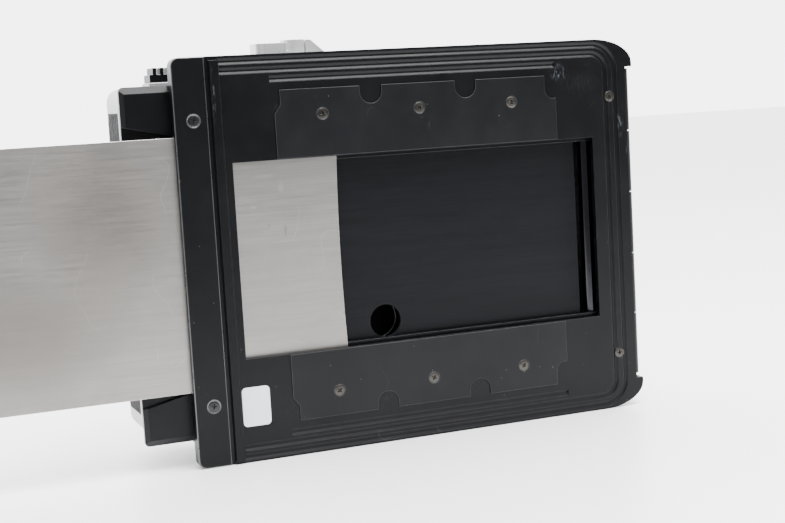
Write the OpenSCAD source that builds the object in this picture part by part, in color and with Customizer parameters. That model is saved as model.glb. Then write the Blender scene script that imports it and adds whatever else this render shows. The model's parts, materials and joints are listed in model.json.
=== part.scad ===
// Roll film holder for a 4 x 5 inch camera back, 6 x 12 frame, with a sliding metal dark slide,
// a hinged rear cover and a wind lever on the top deck.
// X runs to the right seen from the front, Y runs into the body, Z is up.
// The origin is the middle of the exposure opening, on the mounting plane.

/* [Mounting plate] */
// Height of the mounting plate
plate_h = 120.65; // [98:0.05:150]
// Thickness of the mounting plate
plate_t = 4.5; // [4.3:0.1:6]
// How far the cut corners reach along the long edges
corner_run = 14; // [10:0.5:18]
// Width of plate between the opening and the grooved right edge
right_margin = 13; // [12:0.1:16]
// Width of plate between the opening and the slide cap
left_margin = 6.4; // [6:0.1:8]
// How far the corner lugs stand out past the grooved right edge
lug_out = 2.4; // [1.6:0.1:3]
// Width of the locating rib
rib_w = 3.2; // [2.6:0.1:4]
// Height of the locating rib above the mounting plane
rib_h = 0.8; // [0.4:0.1:1.2]

/* [Light-trap grooves] */
// Width of a groove
groove_w = 1.9; // [1.2:0.1:2.2]
// Distance from one groove to the next
groove_pitch = 2.8; // [2.4:0.1:3.4]
// Depth of a groove
groove_d = 0.8; // [0.4:0.1:1.2]
// Distance from the plate's edge to the middle of the outer groove
groove_inset = 1.75; // [1.5:0.05:2.5]
// Distance from the plate's right edge to the middle of the outer groove
side_inset = 4.1; // [3.6:0.1:4.6]
// Distance between the grooves along the right edge
side_pitch = 3.5; // [2.8:0.1:4]
// Corner radius of the outer groove
groove_corner_r = 8; // [6:0.5:12]
// Length of the short inner grooves
short_groove_l = 94.4; // [60:0.2:100]

/* [Exposure opening] */
// Width of the opening
opening_w = 120; // [98:0.5:146]
// Height of the opening
opening_h = 58.3; // [48:0.1:60]

/* [Mask plates] */
// How far a mask plate stands above the mounting plane
mask_t = 0.4; // [0.2:0.05:0.8]
// Width of a mask plate from the opening's edge outwards
mask_depth = 20.5; // [18:0.1:21]
// Length of a mask plate
mask_l = 93.4; // [80:0.2:96]
// Radius of the two round notches
notch_r = 3.5; // [2.5:0.1:4.5]
// Distance of a notch from the middle
notch_x = 15.7; // [12:0.1:20]
// Distance from one mask screw to the next
screw_pitch = 31.4; // [26:0.1:34]
// Distance of the plate screws from the opening's edge
screw_in = 12.85; // [11:0.05:14]

/* [Slide cap] */
// Width of the cap
cap_w = 10; // [8:0.1:14]
// Radius of the cap's outer corners
cap_corner_r = 2.5; // [2:0.5:6]

/* [Dark slide] */
// Width of the dark slide
slide_w = 75; // [68:0.1:78]
// Thickness of the dark slide
slide_t = 0.5; // [0.3:0.05:0.8]
// Distance of the slide's middle plane behind the mounting plane
slide_y = 2.2; // [2:0.05:2.4]
// Gap between the slide and its channel
slide_gap = 0.15; // [0.08:0.01:0.25]
// How far the slide is drawn out
slide_drawn = 88; // [60:1:90]
// Width of the slide's handle
handle_w = 12.6; // [10:0.1:13]
// Length of the slide's handle
handle_l = 78; // [60:1:90]

/* [Casing] */
// How far the casing stands in from the plate's long edges
edge_drop = 7.6; // [6:0.1:10]
// How far the casing stands out to the left of the cap
casing_out = 14.3; // [14:0.1:20]
// Thickness of the casing's front wall
front_wall = 2.5; // [2:0.1:3.5]
// Thickness of the casing's and the cover's other walls
shell_wall = 1.6; // [1.4:0.1:2.2]
// Chamfer along the casing's front edges
casing_chamfer = 2; // [1:0.1:2.4]

/* [Film chambers] */
// Diameter of a film spool's flanges
spool_d = 25.2; // [21:0.1:30.5]
// Length of a film spool
spool_l = 65.5; // [60:0.1:67]
// Diameter of a film spool's core
core_d = 12; // [9:0.1:14]
// Space between a spool and the cover's curved wall
spool_gap = 1.5; // [1.3:0.1:2.5]
// Distance from the end of the opening out to a spool's axis, on the right
supply_off = 2; // [1.5:0.1:3]
// Distance from the end of the opening out to the take-up spool's axis
take_up_off = 15; // [14:0.1:15.4]
// Thickness of the film insert's plates
insert_t = 1.4; // [1:0.1:1.8]

/* [Rollers and pressure plate] */
// Diameter of a guide roller
roller_d = 5; // [4:0.1:5.4]
// Diameter of a roller's pin
roller_pin_d = 2; // [1.5:0.1:2.5]
// Radial gap of a running fit
running = 0.05; // [0.02:0.01:0.1]
// Distance of the pressure plate behind the mounting plane
film_y = 5; // [4.9:0.05:5.2]
// Thickness of the pressure plate
pressure_t = 1; // [0.8:0.1:1.2]
// Distance of the pressure plate's ends from the opening's ends
pressure_in = 4.4; // [4:0.1:6]
// Height of the pressure plate
pressure_h = 61.5; // [50:0.1:62]
// Travel of the pressure plate
pressure_travel = 2.5; // [1:0.1:3]
// Diameter of the film window's hole
window_d = 10; // [8:0.1:12]
// Distance of the window to the left of the opening's middle
window_left = 13.1; // [10:0.1:20]
// Distance of the window below the opening's middle
window_down = 23.2; // [15:0.1:24]

/* [Wind gears] */
// Module of the wind gears
gear_module = 0.8; // [0.7:0.01:0.8]
// Teeth of the lever gear
lever_teeth = 28; // [28:1:28]
// Teeth of the idler gear
idler_teeth = 24; // [24:1:24]
// Teeth of the take-up gear
spool_teeth = 30; // [30:1:30]
// Thickness of the wind gears
gear_t = 2.5; // [2:0.1:3]
// Share of the gears' reach that lies between the lever and the take-up spool
gear_stretch = 0.998; // [0.985:0.001:0.999]

/* [Counter] */
// Module of the counter gears
counter_module = 0.4; // [0.35:0.01:0.45]
// Teeth of the counter pinion
pinion_teeth = 10; // [9:1:11]
// Teeth of the counter gear
counter_teeth = 30; // [24:1:32]
// Radius of the counter dial
dial_r = 7; // [6:0.1:7.5]

/* [Wind lever] */
// Radius of the lever's hub
hub_r = 3.9; // [3.6:0.1:5]
// Diameter of the lever's shaft
lever_shaft_d = 4; // [3:0.1:5]
// Length of the lever from its axis to the end of the grip
lever_l = 13.4; // [12:0.1:18]
// Length of the ribbed grip
grip_l = 9.6; // [7:0.1:10]
// Height of the grip above the plate's top edge
grip_rise = 3.7; // [2:0.1:6]
// Number of grooves in the grip
grip_grooves = 6; // [4:1:7]

/* [Hinge and latch] */
// Radius of the hinge barrel
barrel_r = 2.5; // [2.2:0.1:3]
// Diameter of the hinge pin
hinge_pin_d = 2; // [1.5:0.1:2.4]
// Travel of the latch
latch_travel = 3.5; // [2:0.1:4]
// Number of fins on the latch
latch_fins = 3; // [2:1:4]

/* [Small screws] */
// Radius of a screw's head
head_r = 1.8; // [1.4:0.1:2]
// Radius of a screw's thread
thread_r = 1; // [0.8:0.05:1.2]

/* [Hidden] */
$fn = 64;
eps = 0.01;
far = 400;

// Plate and opening
half_w = opening_w / 2;
half_h = opening_h / 2;
plate_top = plate_h / 2;
plate_left = -half_w - left_margin;
plate_right = half_w + right_margin;
cap_left = plate_left - cap_w;
screw_z = half_h + screw_in;
rib_x = plate_left + 1;
rib_bevel = 0.35;
mask_mid = 0.4;
cap_groove_d = 0.6;
end_screw_x = plate_right - 6.1;
cap_screw_x = cap_left + 5.7;
channel_y = slide_y - slide_t / 2 - slide_gap;
recess_y = slide_y + slide_t / 2 + slide_gap;
channel_z = slide_w / 2 + 0.25;
channel_end = half_w + 2;
frame_out = 5.7;
frame_half_h = channel_z + 9.5;

// Casing and cover
casing_top = plate_top - edge_drop;
casing_left = cap_left - casing_out;
wall_back = plate_t + front_wall;
cover_front = wall_back + 0.2;
roller_x = half_w + 0.5;
roller_y = wall_back - 0.3;
spool_r = spool_d / 2;
chamber_r = spool_r + spool_gap;
cover_r = chamber_r + shell_wall;
spool_y = roller_y + roller_d / 2 + 1.2 + spool_r;
take_up_x = -half_w - take_up_off;
supply_x = half_w + supply_off;
cover_left = take_up_x - cover_r;
cover_right = supply_x + cover_r;
cover_back = spool_y + cover_r;
inner_back = spool_y + chamber_r;
cover_corner_top = 6;
cover_corner_bottom = 9;
cover_corner_right = 2;
strip_half = casing_top - 2;
corner_drop = 0.86 * (plate_top - strip_half - 0.5);
hinge_x = cover_right - barrel_r;
hinge_y = plate_t + barrel_r + 0.2;
knuckle_gap = 0.3;
seam_x = -half_w - 1;
seam_r = hinge_x - seam_x;
seam_gap = 0.4;
deck_right = supply_x + 2;
deck_back = inner_back - 1.2;

// Film insert
insert_z = spool_l / 2 + 0.65;
insert_top = insert_z + insert_t;
roof_z = insert_top + 0.4;
roof_top = roof_z + 1.5;
plate_r_trim = spool_r + 0.3;
front_open_x = half_w + 4.6;
spine_y = film_y + pressure_t + pressure_travel + 3.5;
spine_x = half_w - 12;
post_x = half_w - 22;
post_z = 22;
post_r = 1.5;
spring_r = 2.6;

// Gears
function hyp_angle(a, b, c) = acos((a * a + b * b - c * c) / (2 * a * b));
lever_r = gear_module * lever_teeth / 2;
idler_r = gear_module * idler_teeth / 2;
spool_gear_r = gear_module * spool_teeth / 2;
reach = (lever_r + 2 * idler_r + spool_gear_r) * gear_stretch;
lever_y = 20 + (spool_y - 23);
lever_x = take_up_x + sqrt(pow(reach, 2) - pow(spool_y - lever_y, 2));
line_angle = atan2(spool_y - lever_y, take_up_x - lever_x);
idler_angle = line_angle - hyp_angle(reach, lever_r + idler_r, idler_r + spool_gear_r);
idler_x = lever_x + (lever_r + idler_r) * cos(idler_angle);
idler_y = lever_y + (lever_r + idler_r) * sin(idler_angle);
gear_z = roof_top + 3.7;
gear_top = gear_z + gear_t;
idler_to_spool = atan2(spool_y - idler_y, take_up_x - idler_x);
idler_phase = idler_angle + 180 + 180 / idler_teeth;
spool_phase = idler_to_spool + 180 + 180 / spool_teeth
  - (idler_to_spool - idler_phase) * -idler_teeth / spool_teeth;
pinion_r = counter_module * pinion_teeth / 2;
counter_r = counter_module * counter_teeth / 2;
counter_angle = -60;
counter_x = idler_x + (pinion_r + counter_r) * cos(counter_angle);
counter_y = idler_y + (pinion_r + counter_r) * sin(counter_angle);
pinion_top = gear_top + 2.6;
counter_z = gear_top + 0.8;
dial_z = counter_z + 3;
counter_phase = counter_angle + 180 + 180 / counter_teeth
  - (counter_angle - idler_phase) * -pinion_teeth / counter_teeth;
gear_plate_z = roof_top + 1.4;
gear_plate_t = 1.2;
idler_post_r = 1.5;
counter_post_r = 1;

// Lever
housing_top = plate_top - 0.9;
lever_z = housing_top + 0.5;
arm_t = 1.8;
grip_top = plate_top + grip_rise;
hub_top = grip_top + 0.9;
clutch_z = gear_top + 1;
clutch_t = 2.6;
spring_z = clutch_z + clutch_t + 0.4;
wedge_half = 2.9;
wedge_slope = 0.88;

// Latch
latch_x0 = take_up_x - 4;
latch_x1 = latch_x0 + 13;
latch_y = spool_y - 3;
latch_base_t = 1.1;
latch_stem_w = 3;
fin_pitch = 2.2;

// Slide
slide_tip = half_w + 1.3 - slide_drawn;
handle_right = cap_left - 0.8 - slide_drawn;
slide_tail = handle_right - handle_w + 2;

// ---- Helpers -------------------------------------------------------------

// A block between two corners
module block(x0, x1, y0, y1, z0, z1) {
  translate([x0, y0, z0]) cube([x1 - x0, y1 - y0, z1 - z0]);
}

// A flat shape drawn in X and Z, from y0 back to y1
module slab_y(y0, y1) {
  translate([0, y1, 0]) rotate([90, 0, 0]) linear_extrude(y1 - y0) children();
}

// A flat shape drawn in X and Y, from z0 up to z1
module slab_z(z0, z1) {
  translate([0, 0, z0]) linear_extrude(z1 - z0) children();
}

// A flat shape drawn in Y and Z, from x0 to x1
module slab_x(x0, x1) {
  translate([x0, 0, 0]) rotate([90, 0, 90]) linear_extrude(x1 - x0) children();
}

// An upright rod
module rod_z(x, y, z0, z1, r) {
  translate([x, y, z0]) cylinder(h = z1 - z0, r = r);
}

// A rod that runs from front to back
module rod_y(x, z, y0, y1, r) {
  translate([x, y1, z]) rotate([90, 0, 0]) cylinder(h = y1 - y0, r = r);
}

// A rectangle with a radius of its own for each corner, from the lower left anticlockwise
module panel(x0, x1, z0, z1, radii) {
  low_left = max(radii[0], eps);
  low_right = max(radii[1], eps);
  top_right = max(radii[2], eps);
  top_left = max(radii[3], eps);
  corners = [
    [x0 + low_left, z0 + low_left, low_left, -1, -1],
    [x1 - low_right, z0 + low_right, low_right, 1, -1],
    [x1 - top_right, z1 - top_right, top_right, 1, 1],
    [x0 + top_left, z1 - top_left, top_left, -1, 1]
  ];
  difference() {
    translate([x0, z0]) square([x1 - x0, z1 - z0]);
    for (c = corners) {
      if (c[2] > eps) difference() {
        translate([c[0] + (c[3] < 0 ? -c[2] - 1 : 0), c[1] + (c[4] < 0 ? -c[2] - 1 : 0)])
          square(c[2] + 1);
        translate([c[0], c[1]]) circle(c[2]);
      }
    }
  }
}

// A plan outline with straight ends in front and round corners behind, grown by a margin
module chamber_plan(grow, front) {
  end_r = chamber_r + grow;
  intersection() {
    union() {
      translate([take_up_x, spool_y]) circle(end_r);
      translate([supply_x, spool_y]) circle(end_r);
      translate([take_up_x, front]) square([supply_x - take_up_x, spool_y + end_r - front]);
      translate([take_up_x - end_r, front]) square([supply_x - take_up_x + 2 * end_r, spool_y - front]);
    }
    translate([-far, front]) square([2 * far, far]);
  }
}

// A countersunk screw whose head lies flush at y0, pointing into the body
module screw(x, z, y0, length) {
  cross_w = 0.5;
  cross_l = 2;
  cross_d = 0.6;
  difference() {
    union() {
      translate([x, y0, z]) rotate([-90, 0, 0]) cylinder(h = head_r - thread_r, r1 = head_r, r2 = thread_r);
      rod_y(x, z, y0 + head_r - thread_r - eps, y0 + length, thread_r);
    }
    for (a = [0, 90]) {
      translate([x, y0, z]) rotate([0, a + 20, 0])
        translate([-cross_l / 2, -eps, -cross_w / 2]) cube([cross_l, cross_d, cross_w]);
    }
  }
}

// The hole that takes such a screw
module screw_hole(x, z, y0, length) {
  seat = 0.03;
  translate([x, y0, z]) rotate([-90, 0, 0])
    cylinder(h = head_r - thread_r, r1 = head_r + seat, r2 = thread_r + seat);
  rod_y(x, z, y0 - 1, y0 + length, thread_r);
}

mask_screw_places = [for (x = [-screw_pitch, 0, screw_pitch], s = [-1, 1]) [x, s * screw_z]];

// A spur gear with straight-sided teeth a little thinner than the gaps, one tooth at the phase angle
module spur(teeth, module_mm, thickness, phase) {
  pitch_r = teeth * module_mm / 2;
  root_r = pitch_r - 1.2 * module_mm;
  tip_r = pitch_r + 0.9 * module_mm;
  step = 360 / teeth;
  root_half = step * 0.31;
  tip_half = step * 0.1;
  points = [
    for (i = [0 : teeth - 1])
      for (p = [[root_r, -root_half], [tip_r, -tip_half], [tip_r, tip_half], [root_r, root_half]])
        let (a = phase + i * step + p[1]) [p[0] * cos(a), p[0] * sin(a)]
  ];
  linear_extrude(thickness) polygon(points);
}

// ---- Mounting plate and what lies on it ----------------------------------

// A point of a cut corner's soft curve, from the long edge (0) to the lug's end (1)
function corner_point(t, side) = [
  plate_right + lug_out - corner_run
    + corner_run * (1.5 * t * pow(1 - t, 2) + 3 * pow(t, 2) * (1 - t) + pow(t, 3)),
  side * (plate_top - corner_drop * (1.26 * pow(t, 2) * (1 - t) + pow(t, 3)))
];

// The plate's outline in X and Z
module plate_outline() {
  difference() {
    polygon(concat(
      [[plate_left, -plate_top]],
      [for (i = [0 : 12]) corner_point(i / 12, -1)],
      [for (i = [12 : -1 : 0]) corner_point(i / 12, 1)],
      [[plate_left, plate_top]]
    ));
    translate([plate_right, -strip_half - 0.5]) square([far, 2 * strip_half + 1]);
  }
}

// One groove that runs round the top, the right edge and the bottom
module groove(inset, side_inset) {
  half = groove_w / 2;
  right = plate_right - side_inset;
  top = plate_top - inset;
  outer_r = groove_corner_r + half - (inset - groove_inset);
  difference() {
    panel(rib_x + rib_w - rib_bevel / 2, right + half, -top - half, top + half, [0, outer_r, outer_r, 0]);
    panel(rib_x + rib_w - 1, right - half, -top + half, top - half,
      [0, outer_r - groove_w, outer_r - groove_w, 0]);
  }
}

module mount_plate() {
  third = groove_inset + 2 * groove_pitch;
  color("#1d1e21") difference() {
    union() {
      slab_y(0, plate_t) plate_outline();
      slab_z(-plate_top + 1.2, plate_top - 1.2) polygon([
        [rib_x, eps], [rib_x + rib_bevel, -rib_h],
        [rib_x + rib_w - rib_bevel, -rib_h], [rib_x + rib_w, eps]
      ]);
    }
    block(-half_w, half_w, -1, far, -half_h, half_h);
    block(plate_left - 1, channel_end, channel_y, recess_y + eps, -channel_z, channel_z);
    block(plate_left - 1, half_w + frame_out, recess_y, plate_t + 1, -frame_half_h, frame_half_h);
    slab_y(-eps, groove_d) groove(groove_inset, side_inset);
    slab_y(-eps, groove_d) groove(groove_inset + groove_pitch, side_inset + side_pitch);
    for (s = [-1, 1]) {
      block(-short_groove_l / 2, short_groove_l / 2, -eps, groove_d,
        s * (plate_top - third) - groove_w / 2, s * (plate_top - third) + groove_w / 2);
    }
    block(plate_left - 1, rib_x, -eps, cap_groove_d, -far, far);
    for (p = mask_screw_places) screw_hole(p[0], p[1], -mask_t, plate_t + 1);
    for (s = [-1, 1]) screw_hole(end_screw_x, s * screw_z, 0, plate_t + 1);
  }
}

module slide_cap() {
  radii = [cap_corner_r, 0, 0, cap_corner_r];
  color("#1b1c1f") difference() {
    slab_y(0, plate_t) panel(cap_left, plate_left, -plate_top, plate_top, radii);
    block(cap_left - 1, plate_left + 1, channel_y, recess_y, -channel_z, channel_z);
    felt_pocket(1);
    felt_pocket(-1);
    for (s = [-1, 1]) screw_hole(cap_screw_x, s * screw_z, 0, plate_t + 1);
  }
}

felt_x = plate_left - 6.5;
felt_w = 5;
felt_t = 0.8;

// The pocket that holds a felt, in front of the slide (-1) or behind it (1)
module felt_pocket(side) {
  near = side > 0 ? recess_y : channel_y;
  deep = near + side * (side > 0 ? felt_t + 0.3 : felt_t);
  block(felt_x, felt_x + felt_w, min(near, deep), max(near, deep), -channel_z, channel_z);
}

module slot_felts() {
  touch = slide_t / 2 + 0.05;
  color("#101012") {
    block(felt_x, felt_x + felt_w, channel_y - felt_t, slide_y - touch, -channel_z, channel_z);
    block(felt_x, felt_x + felt_w, slide_y + touch, recess_y + felt_t, -channel_z, channel_z);
  }
}

// A thin flat spring behind the rear felt
module felt_spring() {
  near = recess_y + felt_t;
  margin = 0.5;
  color("#8e9196") block(felt_x + margin, felt_x + felt_w - margin, near, near + 0.3,
    -channel_z + 1, channel_z - 1);
}

module cap_screws() {
  color("#2a2b2e") for (s = [-1, 1]) screw(cap_screw_x, s * screw_z, 0, plate_t + 1.5);
}

module end_screws() {
  color("#4a4b4e") for (s = [-1, 1]) screw(end_screw_x, s * screw_z, 0, plate_t + 1.5);
}

module mask_screws() {
  color("#7d7c78") for (p = mask_screw_places) screw(p[0], p[1], -mask_t, mask_t + plate_t + 1);
}

// The upper mask plate, with two round notches, a slanted step on the left and a hollow one on the right
module mask_plate() {
  outer_z = half_h + mask_depth;
  notch_top = half_h + 15.1;
  left = mask_mid - mask_l / 2;
  right = mask_mid + mask_l / 2;
  color("#202124") difference() {
    slab_y(-mask_t, 0) difference() {
      polygon([
        [left, half_h + 0.2], [right, half_h + 0.2], [right, outer_z - 7.2], [right - 3.8, outer_z - 4.4],
        [right - 3.8, outer_z], [left + 1.9, outer_z], [left + 1.9, outer_z - 4.4], [left, outer_z - 7]
      ]);
      translate([right - 0.9, outer_z - 4.3]) circle(2.9);
      for (s = [-1, 1]) {
        translate([s * notch_x, notch_top + notch_r]) circle(notch_r);
        translate([s * notch_x - notch_r, notch_top + notch_r]) square([2 * notch_r, mask_depth]);
      }
    }
    for (p = mask_screw_places) screw_hole(p[0], abs(p[1]), -mask_t, plate_t);
  }
}

module upper_mask_plate() { mask_plate(); }

module lower_mask_plate() { mirror([0, 0, 1]) mask_plate(); }

// The frame behind the dark slide, whose long edges are the film's rails
module gate_frame() {
  window_x = half_w + 2.4;
  rail_z = half_h - 1.1;
  fit = 0.05;
  color("#17181a") difference() {
    union() {
      block(plate_left, half_w + frame_out - fit, recess_y, plate_t,
        -frame_half_h + fit, frame_half_h - fit);
      for (s = [-1, 1]) {
        block(-half_w + pressure_in - 1, half_w - pressure_in + 1, plate_t - eps, film_y - 0.2,
          s * (rail_z + 0.55) - 0.5, s * (rail_z + 0.55) + 0.5);
      }
    }
    block(-window_x, window_x, 0, far, -rail_z, rail_z);
    for (x = [-roller_x, roller_x]) rod_z(x, roller_y, -insert_z, insert_z, roller_d / 2 + 0.4);
    for (p = mask_screw_places) rod_y(p[0], p[1], 0, far, thread_r);
  }
}

module paper_label() {
  label_l = rib_x + rib_w + 0.1;
  color("#eceff2") slab_y(-0.12, 0)
    panel(label_l, label_l + 8.6, -plate_top + 10.9, -plate_top + 22.7, [1.3, 1.3, 1.3, 1.3]);
}

// ---- Dark slide ----------------------------------------------------------

module dark_slide() {
  bow_r = 700;
  bow = 1;
  y0 = slide_y - slide_t / 2;
  color("#b4b2ae") difference() {
    slab_y(y0, y0 + slide_t) difference() {
      translate([slide_tail, -slide_w / 2]) square([slide_tip - slide_tail, slide_w]);
      translate([slide_tip - bow + bow_r, 0]) circle(bow_r, $fn = 200);
    }
    for (p = rivet_places) rod_y(p[0], p[1], 0, far, rivet_r);
  }
}

rivet_r = 1;
rivet_places = [for (s = [-1, 0, 1]) [handle_right - handle_w / 2, s * slide_w * 0.4]];

// A bar in two halves that holds the end of the slide
module slide_handle() {
  bar_y0 = 0.2;
  bar_y1 = plate_t - 0.5;
  blade_y = slide_y - slide_t / 2;
  color("#19191b") difference() {
    slab_y(bar_y0, bar_y1)
      panel(handle_right - handle_w, handle_right, -handle_l / 2, handle_l / 2, [3, 1, 1, 3]);
    block(slide_tail, handle_right + 1, blade_y, blade_y + slide_t, -slide_w / 2, slide_w / 2);
    for (p = rivet_places) rod_y(p[0], p[1], 0, far, rivet_r);
    for (x = [2.5, 4, 5.5]) {
      block(handle_right - handle_w + x - 0.3, handle_right - handle_w + x + 0.3, 0, bar_y0 + 0.35,
        -slide_w * 0.32, slide_w * 0.32);
    }
  }
}

module handle_rivets() {
  color("#9c9da0") for (p = rivet_places) rod_y(p[0], p[1], 0.15, plate_t - 0.5, rivet_r);
}

// ---- Casing and film insert ----------------------------------------------

// The plan of the plates above and below the film chambers
module chamber_plates(left_r) {
  translate([take_up_x, spool_y]) circle(left_r);
  translate([take_up_x, spool_y - left_r]) square([supply_x - take_up_x, 2 * left_r]);
  translate([supply_x, spool_y]) circle(left_r);
}

// The plan of the closed box in the casing's top and bottom
module deck_plan(inset) {
  intersection() {
    translate([hinge_x, hinge_y]) circle(seam_r - inset, $fn = 120);
    translate([-far, wall_back - eps])
      square([far + deck_right - inset, deck_back - wall_back - inset + eps]);
  }
}

// The three knuckles of the casing's half of the hinge, or the two of the cover's
function knuckle_spans(first) = let (l = 2 * strip_half / 5)
  [for (i = [first : 2 : 4]) [-strip_half + i * l + (i > 0 ? knuckle_gap / 2 : 0),
    -strip_half + (i + 1) * l - (i < 4 ? knuckle_gap / 2 : 0)]];

module casing() {
  front_right = hinge_x - barrel_r - 0.3;
  web_y = hinge_y - 1.6;
  color("#1a1b1d") difference() {
    union() {
      difference() {
        slab_y(plate_t, wall_back)
          panel(casing_left, front_right, -casing_top, casing_top, [1.5, 1, 1, 1.5]);
        for (s = [-1, 1]) {
          slab_x(casing_left - 1, cap_left) polygon([
            [plate_t - eps, s * (casing_top - casing_chamfer)],
            [plate_t - eps, s * (casing_top + 1)],
            [plate_t + casing_chamfer, s * (casing_top + 1)],
            [plate_t + casing_chamfer, s * casing_top]
          ]);
        }
        slab_z(-far, far) polygon([
          [casing_left - 1, plate_t - 1], [casing_left + 1.2, plate_t - eps],
          [casing_left - eps, plate_t + 1.2], [casing_left - 1, plate_t + 1.2]
        ]);
        funnel();
      }
      for (s = [-1, 1]) deck_box(s);
      for (span = knuckle_spans(0)) {
        rod_z(hinge_x, hinge_y, span[0], span[1], barrel_r);
        block(front_right - eps, hinge_x, web_y, wall_back, span[0], span[1]);
      }
    }
    block(-front_open_x, front_open_x, 0, wall_back + eps, -roof_z, roof_z);
    rod_z(hinge_x, hinge_y, -far / 2, far / 2, hinge_pin_d / 2);
    rod_z(lever_x, lever_y, 0, far, lever_shaft_d / 2 + running);
    rod_z(lever_x, lever_y, casing_top - shell_wall - 1, casing_top + 1, bush_r);
    rod_z(take_up_x, spool_y, 0, roof_top + 1, key_r + running + 0.3);
    rod_z(counter_x - 4, counter_y, casing_top - shell_wall - 1, casing_top + 1, window_hole_r);
    for (p = mask_screw_places) rod_y(p[0], p[1], 0, plate_t + 1.5, thread_r);
    for (s = [-1, 1]) {
      rod_y(end_screw_x, s * screw_z, 0, plate_t + 1.7, thread_r);
      rod_y(cap_screw_x, s * screw_z, 0, plate_t + 1.7, thread_r);
    }
    for (x = insert_screw_x) rod_z(x, insert_screw_y, -roof_top, roof_top, insert_screw_r);
  }
}

bush_r = lever_shaft_d / 2 + 1.5;
key_r = 3;
window_hole_r = 2.8;
insert_screw_r = 0.9;
insert_screw_x = [-half_w + 22, half_w - 22];
insert_screw_y = 24;

// The closed box above the film chambers, or below them
module deck_box(side) {
  outer = casing_top;
  inner = casing_top - shell_wall;
  mirror([0, 0, side > 0 ? 0 : 1]) {
    slab_z(inner, outer) deck_plan(0);
    slab_z(roof_z, roof_top) union() {
      deck_plan(0);
      intersection() {
        chamber_plates(plate_r_trim);
        translate([-far, wall_back + 0.3]) square([2 * far, far]);
      }
    }
    slab_z(roof_top - eps, inner + eps) intersection() {
      deck_plan(0);
      union() {
        translate([-far, deck_back - shell_wall]) square([far + deck_right, shell_wall]);
        translate([deck_right - shell_wall, 0]) square([shell_wall, far]);
      }
    }
  }
}

// The shallow funnel in the casing's front, where the slide's handle is gripped
module funnel() {
  depth = 1.4;
  outer_half = channel_z + 3.8;
  slab_y(plate_t - 1, plate_t + depth) polygon([
    [casing_left - 1, -outer_half], [cap_left + 1.2, -channel_z],
    [cap_left + 1.2, channel_z], [casing_left - 1, outer_half]
  ]);
}

// The frame that carries the rollers, the pressure plate and the spools
module film_insert() {
  arm_half = 3.2;
  color("#202226") difference() {
    union() {
      for (s = [-1, 1]) mirror([0, 0, s > 0 ? 0 : 1]) {
        slab_z(insert_z, insert_top) {
          chamber_plates(plate_r_trim - 0.3);
          for (x = [-roller_x, roller_x])
            translate([x - arm_half, roller_y - 1.7]) square([2 * arm_half, spool_y - roller_y]);
        }
      }
      block(-spine_x, spine_x, spine_y, spine_y + insert_t, -insert_z - eps, insert_z + eps);
    }
    for (x = [-roller_x, roller_x]) rod_z(x, roller_y, -far, far, roller_pin_d / 2);
    rod_z(take_up_x, spool_y, 0, far, key_r + running);
    rod_z(take_up_x, spool_y, -far, 0, pin_r);
    for (s = [-1, 1]) rod_z(supply_x, spool_y, s > 0 ? 0 : -far, s > 0 ? far : 0, pin_r);
    for (p = post_places) rod_y(p[0], p[1], 0, far, post_r + 0.1);
    rod_y(-window_left, -window_down, 0, far, window_d / 2 + 1);
    for (x = insert_screw_x, s = [-1, 1])
      rod_z(x, insert_screw_y, s > 0 ? 0 : -far, s > 0 ? far : 0, insert_screw_r);
  }
}

post_places = [for (x = [-post_x, post_x], s = [-1, 1]) [x, s * post_z]];
pin_r = 2;

// Four short screws that hold the insert to the casing
module insert_screws() {
  color("#8a8b8e") for (x = insert_screw_x, s = [-1, 1]) mirror([0, 0, s > 0 ? 0 : 1]) {
    rod_z(x, insert_screw_y, insert_z - 0.9, insert_z, 1.8);
    rod_z(x, insert_screw_y, insert_z - eps, roof_top, insert_screw_r);
  }
}

module roller_pins() {
  color("#a6a8ab") for (x = [-roller_x, roller_x])
    rod_z(x, roller_y, -insert_top, insert_top, roller_pin_d / 2);
}

// A steel roller on its pin
module guide_roller(x) {
  neck = 0.4;
  color("#c3c4c6") difference() {
    union() {
      rod_z(x, roller_y, -insert_z + 0.6, insert_z - 0.6, roller_d / 2 - neck);
      for (s = [-1, 1]) mirror([0, 0, s > 0 ? 0 : 1])
        rod_z(x, roller_y, insert_z - 4, insert_z - 0.6, roller_d / 2);
      rod_z(x, roller_y, -insert_z + 5, insert_z - 5, roller_d / 2);
    }
    rod_z(x, roller_y, -far, far, roller_pin_d / 2 + running);
  }
}

module left_guide_roller() { guide_roller(-roller_x); }

module right_guide_roller() { guide_roller(roller_x); }

module pressure_plate() {
  reach_x = half_w - pressure_in;
  color("#141517") difference() {
    union() {
      block(-reach_x, reach_x, film_y, film_y + pressure_t, -pressure_h / 2, pressure_h / 2);
      for (s = [-1, 1]) block(s * reach_x - (s > 0 ? 0.8 : 0), s * reach_x + (s > 0 ? 0 : 0.8),
        film_y + pressure_t - eps, film_y + pressure_t + 1.2, -pressure_h / 2, pressure_h / 2);
    }
    rod_y(-window_left, -window_down, 0, far, window_d / 2);
    for (p = post_places) rod_y(p[0], p[1], film_y + 0.4, far, post_r - 0.5);
  }
}

// Four posts on the back of the pressure plate, which slide in the insert
module plate_posts() {
  color("#9a9b9e") for (p = post_places) {
    rod_y(p[0], p[1], film_y + 0.4, film_y + pressure_t, post_r - 0.5);
    rod_y(p[0], p[1], film_y + pressure_t, spine_y + insert_t + 1.5, post_r);
    rod_y(p[0], p[1], spine_y + insert_t + 0.4, spine_y + insert_t + 1.2, post_r + 0.9);
  }
}

module plate_springs() {
  color("#b9babd") for (p = post_places) {
    difference() {
      rod_y(p[0], p[1], film_y + pressure_t + 0.02, spine_y - 0.02, spring_r);
      rod_y(p[0], p[1], film_y, spine_y + 1, post_r + 0.3);
    }
  }
}

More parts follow.
